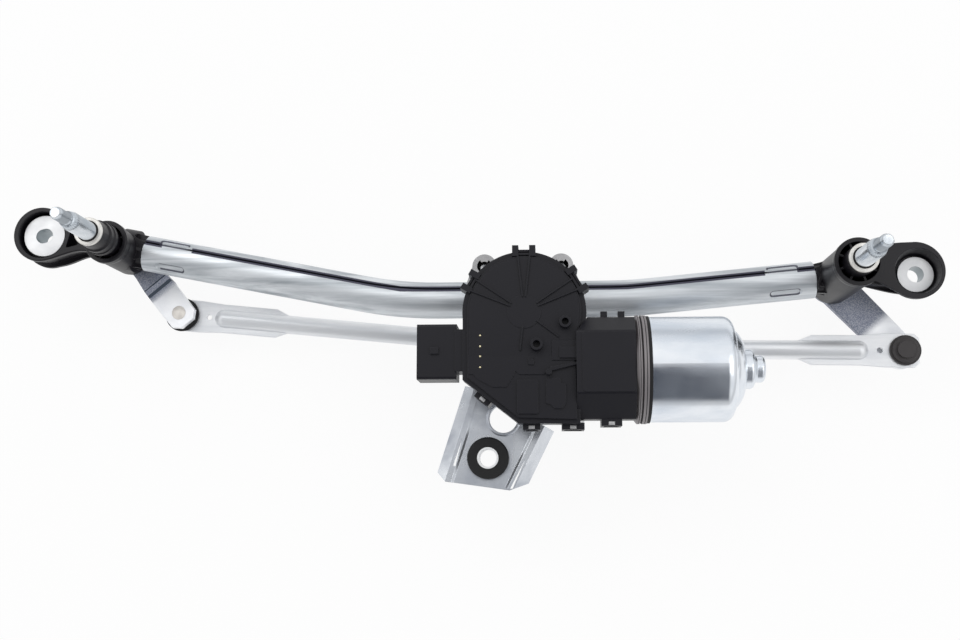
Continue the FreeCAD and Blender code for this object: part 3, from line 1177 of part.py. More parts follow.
ringMagnet = cylAlongX(canInner, magnetStartX, magnetEndX, canAxisY, canAxisZ).cut(
    cylAlongX(canInner - magnetThickness, magnetStartX - 5, magnetEndX + 5, canAxisY, canAxisZ))
save("ring_magnet", ringMagnet)
cardOuter = canRadius - 6.0
brushCard = cylAlongX(cardOuter, 88.0, 91.0, canAxisY, canAxisZ).cut(
    cylAlongX(12.0, 80, 100, canAxisY, canAxisZ))
for side in (-1, 1):
    rest = block(83.0, 88.0, canAxisY + side * 17.0 - 5.0, canAxisY + side * 17.0 + 5.0, canAxisZ - 4.5,
                 canAxisZ + 4.5)
    brushCard = brushCard.fuse(rest)
brushCard = brushCard.removeSplitter().cut([
    block(80, 88.01, canAxisY - 30, canAxisY + 30, canAxisZ - 3.0, canAxisZ + 3.0)])
save("brush_card", brushCard)
for name, side in (("front_brush", -1), ("rear_brush", 1)):
    low, high = sorted((canAxisY + side * (commutatorRadius + faceGap), canAxisY + side * 21.0))
    brush = block(83.0, 88.0, low, high, canAxisZ - 3.0, canAxisZ + 3.0)
    save(name, brush)

# Gearbox screws, driven up through the bracket
screwTipZ = lugTopZ - lugWellDepth - 0.4
for name, (x, y), tip in (("left_lug_screw", lugSpots[0], screwTipZ), ("right_lug_screw", lugSpots[1], screwTipZ),
                          ("lower_lug_screw", lowLug, housingBaseZ + 8.0)):
    shank = cyl(lugHole - 0.3, plateBottomZ, tip, x, y)
    head = hexPrism(10.0, plateBottomZ - 5.4, plateBottomZ - 1.2, x, y)
    collarShape = cyl(6.4, plateBottomZ - 1.2, plateBottomZ, x, y)
    save(name, fuse([shank, head, collarShape]))
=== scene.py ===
import json
import math
import bmesh
import bpy
from mathutils import Matrix, Vector


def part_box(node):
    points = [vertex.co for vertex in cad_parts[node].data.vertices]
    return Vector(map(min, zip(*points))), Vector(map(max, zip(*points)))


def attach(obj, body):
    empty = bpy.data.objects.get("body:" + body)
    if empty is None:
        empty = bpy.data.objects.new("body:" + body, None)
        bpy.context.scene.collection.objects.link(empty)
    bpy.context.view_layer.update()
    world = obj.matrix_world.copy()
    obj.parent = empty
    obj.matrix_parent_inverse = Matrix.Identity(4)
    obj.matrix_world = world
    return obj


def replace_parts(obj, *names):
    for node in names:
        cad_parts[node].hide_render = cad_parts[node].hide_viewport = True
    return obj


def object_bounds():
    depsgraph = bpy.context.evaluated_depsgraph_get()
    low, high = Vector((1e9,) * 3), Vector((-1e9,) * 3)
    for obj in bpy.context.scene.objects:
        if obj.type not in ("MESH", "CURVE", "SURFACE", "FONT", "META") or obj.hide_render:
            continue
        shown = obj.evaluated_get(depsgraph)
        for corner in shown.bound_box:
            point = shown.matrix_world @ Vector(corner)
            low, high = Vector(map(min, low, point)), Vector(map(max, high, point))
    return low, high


mm = 0.001

# What the whole scene shares: the camera's place over the linkage, the floor under it, the light
studio = {
    "cameraPlace": (0.03852, -0.02445, 0.72356),
    "cameraTarget": (-0.0061, 0.0911, -0.0060),
    "lens": 42.05,
    "sensor": 36.0,
    "clip": (0.01, 50.0),
    "floorHalf": 20.0,
    "floorGap": 0.004,      # how far the floor lies under the lowest point
    "floorColour": (0.93, 0.93, 0.93, 1.0),
    "floorGlow": 0.88,      # share of plain white that the camera and reflections see in the floor
    "worldLight": 0.80,
}

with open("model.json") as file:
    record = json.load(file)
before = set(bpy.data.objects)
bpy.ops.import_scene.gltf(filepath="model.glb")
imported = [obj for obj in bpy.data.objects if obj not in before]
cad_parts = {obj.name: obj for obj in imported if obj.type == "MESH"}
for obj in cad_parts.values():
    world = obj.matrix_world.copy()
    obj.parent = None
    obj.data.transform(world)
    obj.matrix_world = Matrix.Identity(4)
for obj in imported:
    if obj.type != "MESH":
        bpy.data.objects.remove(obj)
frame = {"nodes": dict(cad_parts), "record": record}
nodes = frame["nodes"]
firstLow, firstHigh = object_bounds()


# Small helpers
def newNode(tree, kind, place, **values):
    node = tree.nodes.new(kind)
    node.location = place
    for name, value in values.items():
        setattr(node, name, value)
    return node


def setSockets(node, values):
    for name, value in values.items():
        node.inputs[name].default_value = value


def newGroup(name, inputs, outputs):
    tree = bpy.data.node_groups.new(name, "ShaderNodeTree")
    for label, kind, value in inputs:
        socket = tree.interface.new_socket(label, in_out="INPUT", socket_type=kind)
        if value is not None:
            socket.default_value = value
    for label, kind in outputs:
        tree.interface.new_socket(label, in_out="OUTPUT", socket_type=kind)
    start = newNode(tree, "NodeGroupInput", (-900, 0))
    end = newNode(tree, "NodeGroupOutput", (700, 0))
    return tree, start, end


def meshPiece(name, bm, body, slotName, smoothAngle=30.0, welded=True):
    if welded:
        bmesh.ops.remove_doubles(bm, verts=bm.verts[:], dist=0.000002)
        bmesh.ops.recalc_face_normals(bm, faces=bm.faces[:])
    mesh = bpy.data.meshes.new(name)
    bm.to_mesh(mesh)
    bm.free()
    piece = bpy.data.objects.new(name, mesh)
    bpy.context.scene.collection.objects.link(piece)
    mesh.polygons.foreach_set("use_smooth", [True] * len(mesh.polygons))
    mesh.set_sharp_from_angle(angle=math.radians(smoothAngle))
    mesh.materials.append(finishes[slotName])
    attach(piece, body)
    return piece


# Turns a profile of (radius, height) pairs once round an upright axis
def turned(bm, middleX, middleY, profile, steps, closed=False):
    points = [bm.verts.new((middleX + radius, middleY, height)) for radius, height in profile]
    following = points[1:] + points[:1] if closed else points[1:]
    rims = [bm.edges.new(pair) for pair in zip(points, following)]
    bmesh.ops.spin(bm, geom=points + rims, cent=(middleX, middleY, 0), axis=(0, 0, 1), angle=2 * math.pi,
                   steps=steps, use_merge=True)


# Sums inside a material: each value is a number or the output of another node
def calc(tree, operation, *values):
    node = newNode(tree, "ShaderNodeMath", (-1300, -500), operation=operation)
    for index, value in enumerate(values):
        if isinstance(value, (int, float)):
            node.inputs[index].default_value = value
        else:
            tree.links.new(value, node.inputs[index])
    return node.outputs["Value"]


def fade(tree, value, start, end, low=0.0, high=1.0):
    node = newNode(tree, "ShaderNodeMapRange", (-1300, -700), interpolation_type="SMOOTHSTEP")
    setSockets(node, {"From Min": start, "From Max": end, "To Min": low, "To Max": high})
    tree.links.new(value, node.inputs["Value"])
    return node.outputs["Result"]


def away(tree, x, y, middleX, middleY):
    across = calc(tree, "SUBTRACT", x, middleX)
    upward = calc(tree, "SUBTRACT", y, middleY)
    total = calc(tree, "ADD", calc(tree, "MULTIPLY", across, across), calc(tree, "MULTIPLY", upward, upward))
    return calc(tree, "SQRT", total)


def either(tree, *values):
    answer = values[0]
    for value in values[1:]:
        answer = calc(tree, "MAXIMUM", answer, value)
    return answer


# Shader effects that several finishes share: rounded edges, clouded zinc, the grain of a moulding with lighter
# edges that are partly wear and partly painted highlight
def softEdgeGroup():
    tree, start, end = newGroup("softEdge", [("Radius", "NodeSocketFloat", 0.0004)],
                                [("Normal", "NodeSocketVector"), ("Edge", "NodeSocketFloat")])
    bevel = newNode(tree, "ShaderNodeBevel", (-600, 0), samples=6)
    geometry = newNode(tree, "ShaderNodeNewGeometry", (-600, -200))
    dot = newNode(tree, "ShaderNodeVectorMath", (-300, -100), operation="DOT_PRODUCT")
    spread = newNode(tree, "ShaderNodeMapRange", (0, -100))
    setSockets(spread, {"From Min": 0.995, "From Max": 0.80, "To Min": 0.0, "To Max": 1.0})
    link = tree.links.new
    link(start.outputs["Radius"], bevel.inputs["Radius"])
    link(bevel.outputs["Normal"], dot.inputs[0])
    link(geometry.outputs["Normal"], dot.inputs[1])
    link(dot.outputs["Value"], spread.inputs["Value"])
    link(bevel.outputs["Normal"], end.inputs["Normal"])
    link(spread.outputs["Result"], end.inputs["Edge"])
    return tree


def zincSkinGroup():
    inputs = [("Vector", "NodeSocketVector", None), ("Light Colour", "NodeSocketColor", None),
              ("Dark Colour", "NodeSocketColor", None), ("Cloud Scale", "NodeSocketFloat", 18.0),
              ("Grain Scale", "NodeSocketFloat", 900.0), ("Grain", "NodeSocketFloat", 0.5),
              ("Smooth", "NodeSocketFloat", 0.2), ("Rough", "NodeSocketFloat", 0.4)]
    outputs = [("Colour", "NodeSocketColor"), ("Roughness", "NodeSocketFloat"), ("Height", "NodeSocketFloat")]
    tree, start, end = newGroup("zincSkin", inputs, outputs)
    cloud = newNode(tree, "ShaderNodeTexNoise", (-600, 200))
    grain = newNode(tree, "ShaderNodeTexNoise", (-600, -100))
    setSockets(cloud, {"Detail": 4.0, "Roughness": 0.55, "Distortion": 0.4})
    setSockets(grain, {"Detail": 3.0, "Roughness": 0.7})
    spread = newNode(tree, "ShaderNodeMapRange", (-350, 200))
    setSockets(spread, {"From Min": 0.32, "From Max": 0.68})
    grit = newNode(tree, "ShaderNodeMapRange", (-350, -100))
    setSockets(grit, {"From Min": 0.3, "From Max": 0.7, "To Min": -0.5, "To Max": 0.5})
    weigh = newNode(tree, "ShaderNodeMath", (-150, -100), operation="MULTIPLY")
    total = newNode(tree, "ShaderNodeMath", (0, 100), operation="ADD", use_clamp=True)
    blendTone = newNode(tree, "ShaderNodeMix", (200, 200), data_type="RGBA")
    blendRough = newNode(tree, "ShaderNodeMix", (200, -100), data_type="FLOAT")
    link = tree.links.new
    link(start.outputs["Vector"], cloud.inputs["Vector"])
    link(start.outputs["Vector"], grain.inputs["Vector"])
    link(start.outputs["Cloud Scale"], cloud.inputs["Scale"])
    link(start.outputs["Grain Scale"], grain.inputs["Scale"])
    link(cloud.outputs["Fac"], spread.inputs["Value"])
    link(grain.outputs["Fac"], grit.inputs["Value"])
    link(grit.outputs["Result"], weigh.inputs[0])
    link(start.outputs["Grain"], weigh.inputs[1])
    link(spread.outputs["Result"], total.inputs[0])
    link(weigh.outputs["Value"], total.inputs[1])
    link(total.outputs["Value"], blendTone.inputs["Factor"])
    link(start.outputs["Light Colour"], blendTone.inputs["A"])
    link(start.outputs["Dark Colour"], blendTone.inputs["B"])
    link(total.outputs["Value"], blendRough.inputs["Factor"])
    link(start.outputs["Smooth"], blendRough.inputs["A"])
    link(start.outputs["Rough"], blendRough.inputs["B"])
    link(blendTone.outputs["Result"], end.inputs["Colour"])
    link(blendRough.outputs["Result"], end.inputs["Roughness"])
    link(grain.outputs["Fac"], end.inputs["Height"])
    return tree


def mouldedGrainAndSheenGroup():
    inputs = [("Vector", "NodeSocketVector", None), ("Colour", "NodeSocketColor", None),
              ("Worn And Sheen Colour", "NodeSocketColor", None), ("Edge", "NodeSocketFloat", 0.0),
              ("Grain Scale", "NodeSocketFloat", 2200.0), ("Smooth", "NodeSocketFloat", 0.4),
              ("Rough", "NodeSocketFloat", 0.6)]
    outputs = [("Colour", "NodeSocketColor"), ("Roughness", "NodeSocketFloat"), ("Height", "NodeSocketFloat")]
    tree, start, end = newGroup("mouldedGrainAndSheen", inputs, outputs)
    grain = newNode(tree, "ShaderNodeTexVoronoi", (-600, -100), feature="SMOOTH_F1")
    cloud = newNode(tree, "ShaderNodeTexNoise", (-600, 200))
    setSockets(cloud, {"Scale": 35.0, "Detail": 3.0, "Roughness": 0.6})
    edgeTone = newNode(tree, "ShaderNodeMath", (-300, 100), operation="MULTIPLY")
    blendTone = newNode(tree, "ShaderNodeMix", (200, 200), data_type="RGBA")
    blendRough = newNode(tree, "ShaderNodeMix", (200, -100), data_type="FLOAT")
    link = tree.links.new
    link(start.outputs["Vector"], grain.inputs["Vector"])
    link(start.outputs["Vector"], cloud.inputs["Vector"])
    link(start.outputs["Grain Scale"], grain.inputs["Scale"])
    link(cloud.outputs["Fac"], edgeTone.inputs[0])
    link(start.outputs["Edge"], edgeTone.inputs[1])
    # edges take the second colour: partly rubbed wear, partly a painted highlight
    link(edgeTone.outputs["Value"], blendTone.inputs["Factor"])
    link(start.outputs["Colour"], blendTone.inputs["A"])
    link(start.outputs["Worn And Sheen Colour"], blendTone.inputs["B"])
    link(cloud.outputs["Fac"], blendRough.inputs["Factor"])
    link(start.outputs["Smooth"], blendRough.inputs["A"])
    link(start.outputs["Rough"], blendRough.inputs["B"])
    link(blendTone.outputs["Result"], end.inputs["Colour"])
    link(blendRough.outputs["Result"], end.inputs["Roughness"])
    link(grain.outputs["Distance"], end.inputs["Height"])
    return tree


softEdge = softEdgeGroup()
zincSkin = zincSkinGroup()
mouldedGrainAndSheen = mouldedGrainAndSheenGroup()


def startMaterial(name, viewColour):
    material = bpy.data.materials.new(name)
    material.use_nodes = True
    material.diffuse_color = viewColour
    tree = material.node_tree
    shader = tree.nodes["Principled BSDF"]
    shader.location = (500, 0)
    tree.nodes["Material Output"].location = (800, 0)
    coordinate = newNode(tree, "ShaderNodeTexCoord", (-1700, 0))
    return material, tree, shader, coordinate.outputs["Object"]


def metalFinish(name, look):
    material, tree, shader, place = startMaterial(name, look["light"])
    mapping = newNode(tree, "ShaderNodeMapping", (-700, 0))
    skin = newNode(tree, "ShaderNodeGroup", (-300, 100), node_tree=zincSkin)
    edge = newNode(tree, "ShaderNodeGroup", (-300, -300), node_tree=softEdge)
    wave = newNode(tree, "ShaderNodeTexNoise", (-300, -600))
    dents = newNode(tree, "ShaderNodeBump", (0, -500))
    bump = newNode(tree, "ShaderNodeBump", (200, -300))
    mapping.inputs["Scale"].default_value = look.get("stretch", (1.0, 1.0, 1.0))
    setSockets(skin, {"Light Colour": look["light"], "Dark Colour": look["dark"], "Smooth": look["smooth"],
                      "Rough": look["rough"], "Cloud Scale": look["cloudScale"],
                      "Grain Scale": look.get("grainScale", 900.0), "Grain": look.get("grain", 0.5)})
    setSockets(edge, {"Radius": 0.4 * mm})
    setSockets(wave, {"Scale": look.get("waveScale", 60.0), "Detail": 1.0, "Roughness": 0.4})
    setSockets(dents, {"Strength": look.get("wave", 0.0), "Distance": 0.2 * mm})
    setSockets(bump, {"Strength": look["bump"], "Distance": 0.05 * mm})
    setSockets(shader, {"Metallic": look.get("metallic", 1.0)})
    link = tree.links.new
    link(place, mapping.inputs["Vector"])
    link(mapping.outputs["Vector"], skin.inputs["Vector"])
    colour, rough = skin.outputs["Colour"], skin.outputs["Roughness"]
    if "zones" in look:
        split = newNode(tree, "ShaderNodeSeparateXYZ", (-1500, -500))
        link(place, split.inputs["Vector"])
        for zone, zoneColour, zoneRough in look["zones"]:
            share = zone(tree, split.outputs["X"], split.outputs["Y"], split.outputs["Z"])
            tone = newNode(tree, "ShaderNodeMix", (0, 300), data_type="RGBA")
            polish = newNode(tree, "ShaderNodeMix", (0, 50), data_type="FLOAT")
            tone.inputs["B"].default_value = zoneColour
            polish.inputs["B"].default_value = zoneRough
            link(share, tone.inputs["Factor"])
            link(share, polish.inputs["Factor"])
            link(colour, tone.inputs["A"])
            link(rough, polish.inputs["A"])
            colour, rough = tone.outputs["Result"], polish.outputs["Result"]
    link(colour, shader.inputs["Base Color"])
    link(rough, shader.inputs["Roughness"])
    link(place, wave.inputs["Vector"])
    link(wave.outputs["Fac"], dents.inputs["Height"])
    link(edge.outputs["Normal"], dents.inputs["Normal"])
    link(skin.outputs["Height"], bump.inputs["Height"])
    link(dents.outputs["Normal"], bump.inputs["Normal"])
    link(bump.outputs["Normal"], shader.inputs["Normal"])
    return material


def mouldedFinish(name, look):
    material, tree, shader, place = startMaterial(name, look["colour"])
    skin = newNode(tree, "ShaderNodeGroup", (-100, 100), node_tree=mouldedGrainAndSheen)
    edge = newNode(tree, "ShaderNodeGroup", (-400, -300), node_tree=softEdge)
    bump = newNode(tree, "ShaderNodeBump", (200, -300))
    setSockets(skin, {"Colour": look["colour"], "Worn And Sheen Colour": look["wornAndSheen"], "Grain Scale": 2200.0,
                      "Smooth": look["smooth"], "Rough": look["rough"]})
    setSockets(edge, {"Radius": 0.5 * mm})
    setSockets(bump, {"Strength": look["bump"], "Distance": 0.06 * mm})
    setSockets(shader, {"Metallic": 0.0, "Specular IOR Level": look.get("specular", 0.5)})
    link = tree.links.new
    link(place, skin.inputs["Vector"])
    link(edge.outputs["Edge"], skin.inputs["Edge"])
    link(skin.outputs["Colour"], shader.inputs["Base Color"])
    link(skin.outputs["Roughness"], shader.inputs["Roughness"])
    link(skin.outputs["Height"], bump.inputs["Height"])
    link(edge.outputs["Normal"], bump.inputs["Normal"])
    link(bump.outputs["Normal"], shader.inputs["Normal"])
    return material


# Where a finish changes on a piece: each zone gives 1 inside it and 0 outside, from the place in metres
tubeLine = {
    "leftBend": -58.1 * mm, "leftLean": (0.19443, 0.98093),
    "rightBend": 90.4 * mm, "rightLean": (-0.09138, 0.99580),
    "middleY": 104.4 * mm, "middleZ": -6.0 * mm,
    "seamHalf": 2.15 * mm, "seamTilt": math.radians(60),      # the lips beside the slit, darkened with painted shade
    "bore": 10.15 * mm,
    "crimpX": (-208.4 * mm, 188.8 * mm), "crimpHalf": 10.2 * mm,
    "wallLow": 10.8 * mm, "wallHigh": 11.65 * mm,      # the walls of the crimps, by their distance from the axis
    "wallReach": 12.2 * mm, "wallShadeShare": 0.9,
}


# Painted shade on the tube: dark lips beside the slit, a dark bore and darker crimp walls
def tubeShadeZone(tree, x, y, z):
    line = tubeLine
    straight = calc(tree, "SUBTRACT", y, line["middleY"])
    offset = straight
    for bend, lean, side in ((line["leftBend"], line["leftLean"], "LESS_THAN"),
                             (line["rightBend"], line["rightLean"], "GREATER_THAN")):
        along = calc(tree, "MULTIPLY", calc(tree, "SUBTRACT", x, bend), lean[0])
        leg = calc(tree, "ADD", along, calc(tree, "MULTIPLY", straight, lean[1]))
        change = calc(tree, "SUBTRACT", leg, straight)
        offset = calc(tree, "ADD", offset, calc(tree, "MULTIPLY", calc(tree, side, x, bend), change))
    height = calc(tree, "SUBTRACT", z, line["middleZ"])
    sine, cosine = math.sin(line["seamTilt"]), math.cos(line["seamTilt"])
    across = calc(tree, "SUBTRACT", calc(tree, "MULTIPLY", offset, sine), calc(tree, "MULTIPLY", height, cosine))
    outward = calc(tree, "ADD", calc(tree, "MULTIPLY", offset, cosine), calc(tree, "MULTIPLY", height, sine))
    radius = away(tree, offset, height, 0.0, 0.0)
    band = calc(tree, "LESS_THAN", calc(tree, "ABSOLUTE", across), line["seamHalf"])
    band = calc(tree, "MULTIPLY", band, calc(tree, "GREATER_THAN", outward, 0.0))
    walls = calc(tree, "MULTIPLY", calc(tree, "LESS_THAN", radius, line["wallHigh"]),
                 calc(tree, "GREATER_THAN", radius, line["wallLow"]))
    pockets = 0.0
    for crimpX in line["crimpX"]:
        reach = calc(tree, "ABSOLUTE", calc(tree, "SUBTRACT", x, crimpX))
        band = calc(tree, "MULTIPLY", band, calc(tree, "GREATER_THAN", reach, line["crimpHalf"]))
        near = calc(tree, "LESS_THAN", reach, line["wallReach"])
        pockets = calc(tree, "MAXIMUM", pockets, calc(tree, "MULTIPLY", walls, near))
    inside = calc(tree, "LESS_THAN", radius, line["bore"])
    return either(tree, band, inside, calc(tree, "MULTIPLY", pockets, line["wallShadeShare"]))


# Spindle cranks: darker round the hub with painted shade and painted reflection of the housing, speckled like
# mottled zinc; fully dark out to the first distance, bright from "bright" on
crankHubs = {
    "right": {"middle": (227.7 * mm, 117.0 * mm), "way": (0.677, -0.736), "shaded": 36.0 * mm, "bright": 43.0 * mm},
    "left": {"middle": (-248.3 * mm, 140.0 * mm), "way": (0.640, -0.768), "shaded": 29.8 * mm, "bright": 34.0 * mm},
}
crankSkin = {
    "sideStart": 0.1,      # either crank lies further out than this
    "speckleScale": 1500.0, "speckleEnds": (0.75, 0.30), "speckleShare": 0.45,
    "foldShadeLines": ((29.0 * mm, 0.80 * mm), (25.4 * mm, 0.40 * mm)),      # painted shade: dark lines across the left crank's step
}


def alongCrank(tree, x, y, hub):
    alongX = calc(tree, "MULTIPLY", calc(tree, "SUBTRACT", x, hub["middle"][0]), hub["way"][0])
    alongY = calc(tree, "MULTIPLY", calc(tree, "SUBTRACT", y, hub["middle"][1]), hub["way"][1])
    return calc(tree, "ADD", alongX, alongY)


# Painted shade and painted reflection near each hub, broken up by a speckle of mottled zinc
def hubShadeZone(tree, x, y, z):
    answer = 0.0
    for side, hub in crankHubs.items():
        shaded = fade(tree, alongCrank(tree, x, y, hub), hub["bright"], hub["shaded"])
        outward = calc(tree, "MULTIPLY", x, 1 if side == "right" else -1)
        there = calc(tree, "GREATER_THAN", outward, crankSkin["sideStart"])
        answer = calc(tree, "ADD", answer, calc(tree, "MULTIPLY", shaded, there))
    speckle = newNode(tree, "ShaderNodeTexNoise", (-1300, -900))
    setSockets(speckle, {"Scale": crankSkin["speckleScale"], "Detail": 2.0, "Roughness": 0.8})
    tree.links.new(tree.nodes["Texture Coordinate"].outputs["Object"], speckle.inputs["Vector"])
    grit = fade(tree, speckle.outputs["Fac"], *crankSkin["speckleEnds"])
    grit = calc(tree, "MULTIPLY_ADD", grit, crankSkin["speckleShare"], 1.0 - crankSkin["speckleShare"])
    return calc(tree, "MULTIPLY", answer, grit)


# Painted shade in the bends of the left crank's step
def foldShadeZone(tree, x, y, z):
    along = alongCrank(tree, x, y, crankHubs["left"])
    lines = [calc(tree, "COMPARE", along, place, half) for place, half in crankSkin["foldShadeLines"]]
    return calc(tree, "MULTIPLY", either(tree, *lines), calc(tree, "LESS_THAN", x, -crankSkin["sideStart"]))


# Gear housing: its motor flange with three grooves, which carry painted shade, and the wells round the two upper
# lug screws, which carry painted shade
housingSkin = {
    "flangeStart": 90.9 * mm,
    "grooves": ((93.1 * mm, 0.22 * mm), (94.8 * mm, 0.42 * mm), (96.9 * mm, 0.25 * mm)),
    "wellX": (-1.8 * mm, 47.4 * mm), "wellY": 122.3 * mm, "wellRadius": 4.78 * mm, "wellTop": 17.95 * mm,
}


def flangeZone(tree, x, y, z):
    return calc(tree, "GREATER_THAN", x, housingSkin["flangeStart"])


# Painted shade in the flange grooves
def grooveShadeZone(tree, x, y, z):
    return either(tree, *[calc(tree, "COMPARE", x, place, half) for place, half in housingSkin["grooves"]])


# Painted shade inside the wells round the lug screws
def wellShadeZone(tree, x, y, z):
    wells = [calc(tree, "LESS_THAN", away(tree, x, y, wellX, housingSkin["wellY"]), housingSkin["wellRadius"])
             for wellX in housingSkin["wellX"]]
    return calc(tree, "MULTIPLY", either(tree, *wells), calc(tree, "LESS_THAN", z, housingSkin["wellTop"]))


# Ear sleeves: painted shade on only their upright walls, which lie further from the middle than "inner"
earSleeves = {"inner": 0.15, "steepest": 0.6}


def sleeveWallShadeZone(tree, x, y, z):
    geometry = newNode(tree, "ShaderNodeNewGeometry", (-1500, -900))
    split = newNode(tree, "ShaderNodeSeparateXYZ", (-1300, -900))
    tree.links.new(geometry.outputs["Normal"], split.inputs["Vector"])
    upright = calc(tree, "LESS_THAN", calc(tree, "ABSOLUTE", split.outputs["Z"]), earSleeves["steepest"])
    ears = calc(tree, "GREATER_THAN", calc(tree, "ABSOLUTE", x), earSleeves["inner"])
    return calc(tree, "MULTIPLY", upright, ears)


# Spindles: the knurl and the thread above it
threadBand = {"low": 81.6 * mm, "high": 102.0 * mm}


def threadZone(tree, x, y, z):
    above = calc(tree, "GREATER_THAN", z, threadBand["low"])
    return calc(tree, "MULTIPLY", above, calc(tree, "LESS_THAN", z, threadBand["high"]))


# Finishes, named as the record's slots
metalLooks = {
    "zinc_tube": {"light": (0.76, 0.79, 0.82, 1), "dark": (0.38, 0.41, 0.44, 1), "smooth": 0.42, "rough": 0.56,
                  "stretch": (0.05, 1.0, 1.0), "cloudScale": 150.0, "grainScale": 1200.0, "grain": 0.15,
                  "bump": 0.03, "metallic": 0.75, "wave": 0.12, "waveScale": 30.0,
                  # painted shade beside the slit, in the bore and on the crimp walls
                  "zones": [(tubeShadeZone, (0.070, 0.070, 0.098, 1), 0.5)]},
    "zinc_plate": {"light": (0.90, 0.93, 0.97, 1), "dark": (0.34, 0.37, 0.43, 1), "smooth": 0.22, "rough": 0.40,
                   "cloudScale": 22.0, "grainScale": 1500.0, "grain": 0.12, "bump": 0.02, "metallic": 0.85,
                   "wave": 0.5, "waveScale": 40.0},
    "zinc_crank": {"light": (0.92, 0.93, 0.95, 1), "dark": (0.80, 0.82, 0.86, 1), "smooth": 0.32, "rough": 0.48,
                   "cloudScale": 40.0, "grainScale": 1300.0, "grain": 0.3, "bump": 0.06, "metallic": 0.5,
                   # painted shade and painted reflection round the hubs, painted shade across the left crank's
                   # step
                   "zones": [(hubShadeZone, (0.13, 0.15, 0.22, 1), 0.5), (foldShadeZone, (0.05, 0.065, 0.09, 1), 0.4)]},
    "zinc_link": {"light": (0.90, 0.91, 0.93, 1), "dark": (0.74, 0.76, 0.79, 1), "smooth": 0.34, "rough": 0.48,
                  "stretch": (0.1, 1.0, 1.0), "cloudScale": 90.0, "grain": 0.12, "bump": 0.03, "metallic": 0.6},
    "weld_metal": {"light": (0.42, 0.42, 0.43, 1), "dark": (0.22, 0.21, 0.21, 1), "smooth": 0.35, "rough": 0.6,
                   "cloudScale": 200.0, "grainScale": 2500.0, "bump": 0.4},
    "zinc_sleeve": {"light": (0.88, 0.89, 0.90, 1), "dark": (0.80, 0.81, 0.83, 1), "smooth": 0.34, "rough": 0.50,
                    "cloudScale": 60.0, "grain": 0.2, "bump": 0.03, "metallic": 0.3,
                    # painted shade on the sleeves' bore walls
                    "zones": [(sleeveWallShadeZone, (0.36, 0.42, 0.45, 1), 0.3)]},
    "bush_metal": {"light": (0.84, 0.83, 0.80, 1), "dark": (0.70, 0.68, 0.64, 1), "smooth": 0.34, "rough": 0.50,
                   "cloudScale": 120.0, "grain": 0.2, "bump": 0.04, "metallic": 0.4},
    "bronze": {"light": (0.62, 0.43, 0.24, 1), "dark": (0.40, 0.26, 0.14, 1), "smooth": 0.32, "rough": 0.5,
               "cloudScale": 200.0, "bump": 0.15},
    "zinc_spindle": {"light": (0.78, 0.81, 0.84, 1), "dark": (0.42, 0.46, 0.50, 1), "smooth": 0.16, "rough": 0.32,
                     "stretch": (1.0, 1.0, 0.25), "cloudScale": 110.0, "grainScale": 1800.0, "grain": 0.15,
                     "bump": 0.03, "zones": [(threadZone, (0.56, 0.61, 0.66, 1), 0.28)]},
    "ground_steel": {"light": (0.66, 0.67, 0.68, 1), "dark": (0.50, 0.51, 0.52, 1), "smooth": 0.16, "rough": 0.28,
                     "cloudScale": 80.0, "bump": 0.04},
    "zinc_hardware": {"light": (0.80, 0.81, 0.83, 1), "dark": (0.56, 0.58, 0.60, 1), "smooth": 0.24, "rough": 0.42,
                      "cloudScale": 120.0, "bump": 0.08},
    "stud_steel": {"light": (0.84, 0.80, 0.75, 1), "dark": (0.74, 0.70, 0.65, 1), "smooth": 0.42, "rough": 0.56,
                   "cloudScale": 150.0, "grain": 0.2, "bump": 0.03, "metallic": 0.3},
    "cast_alloy": {"light": (0.50, 0.50, 0.51, 1), "dark": (0.34, 0.34, 0.345, 1), "smooth": 0.40, "rough": 0.60,
                   "cloudScale": 70.0, "grainScale": 1400.0, "grain": 0.5, "bump": 0.15, "metallic": 0.5,
                   "zones": [(flangeZone, (0.24, 0.225, 0.232, 1), 0.5),
                             # painted shade in the flange grooves
                             (grooveShadeZone, (0.03, 0.028, 0.03, 1), 0.7),
                             # painted shade in the lug-screw wells
                             (wellShadeZone, (0.012, 0.012, 0.013, 1), 0.8)]},
    "can_steel": {"light": (0.86, 0.89, 0.93, 1), "dark": (0.60, 0.66, 0.74, 1), "smooth": 0.18, "rough": 0.32,
                  "stretch": (0.5, 1.0, 1.0), "cloudScale": 34.0, "grainScale": 1600.0, "grain": 0.15,
                  "bump": 0.02, "wave": 0.35, "waveScale": 70.0},
    "core_steel": {"light": (0.34, 0.34, 0.35, 1), "dark": (0.20, 0.20, 0.21, 1), "smooth": 0.35, "rough": 0.5,
                   "stretch": (25.0, 1.0, 1.0), "cloudScale": 60.0, "bump": 0.3},
    "copper": {"light": (0.78, 0.46, 0.30, 1), "dark": (0.52, 0.28, 0.17, 1), "smooth": 0.22, "rough": 0.4,
               "cloudScale": 120.0, "bump": 0.06},
    "contact_brass": {"light": (0.86, 0.78, 0.52, 1), "dark": (0.62, 0.52, 0.30, 1), "smooth": 0.2, "rough": 0.36,
                      "cloudScale": 200.0, "bump": 0.05},
}
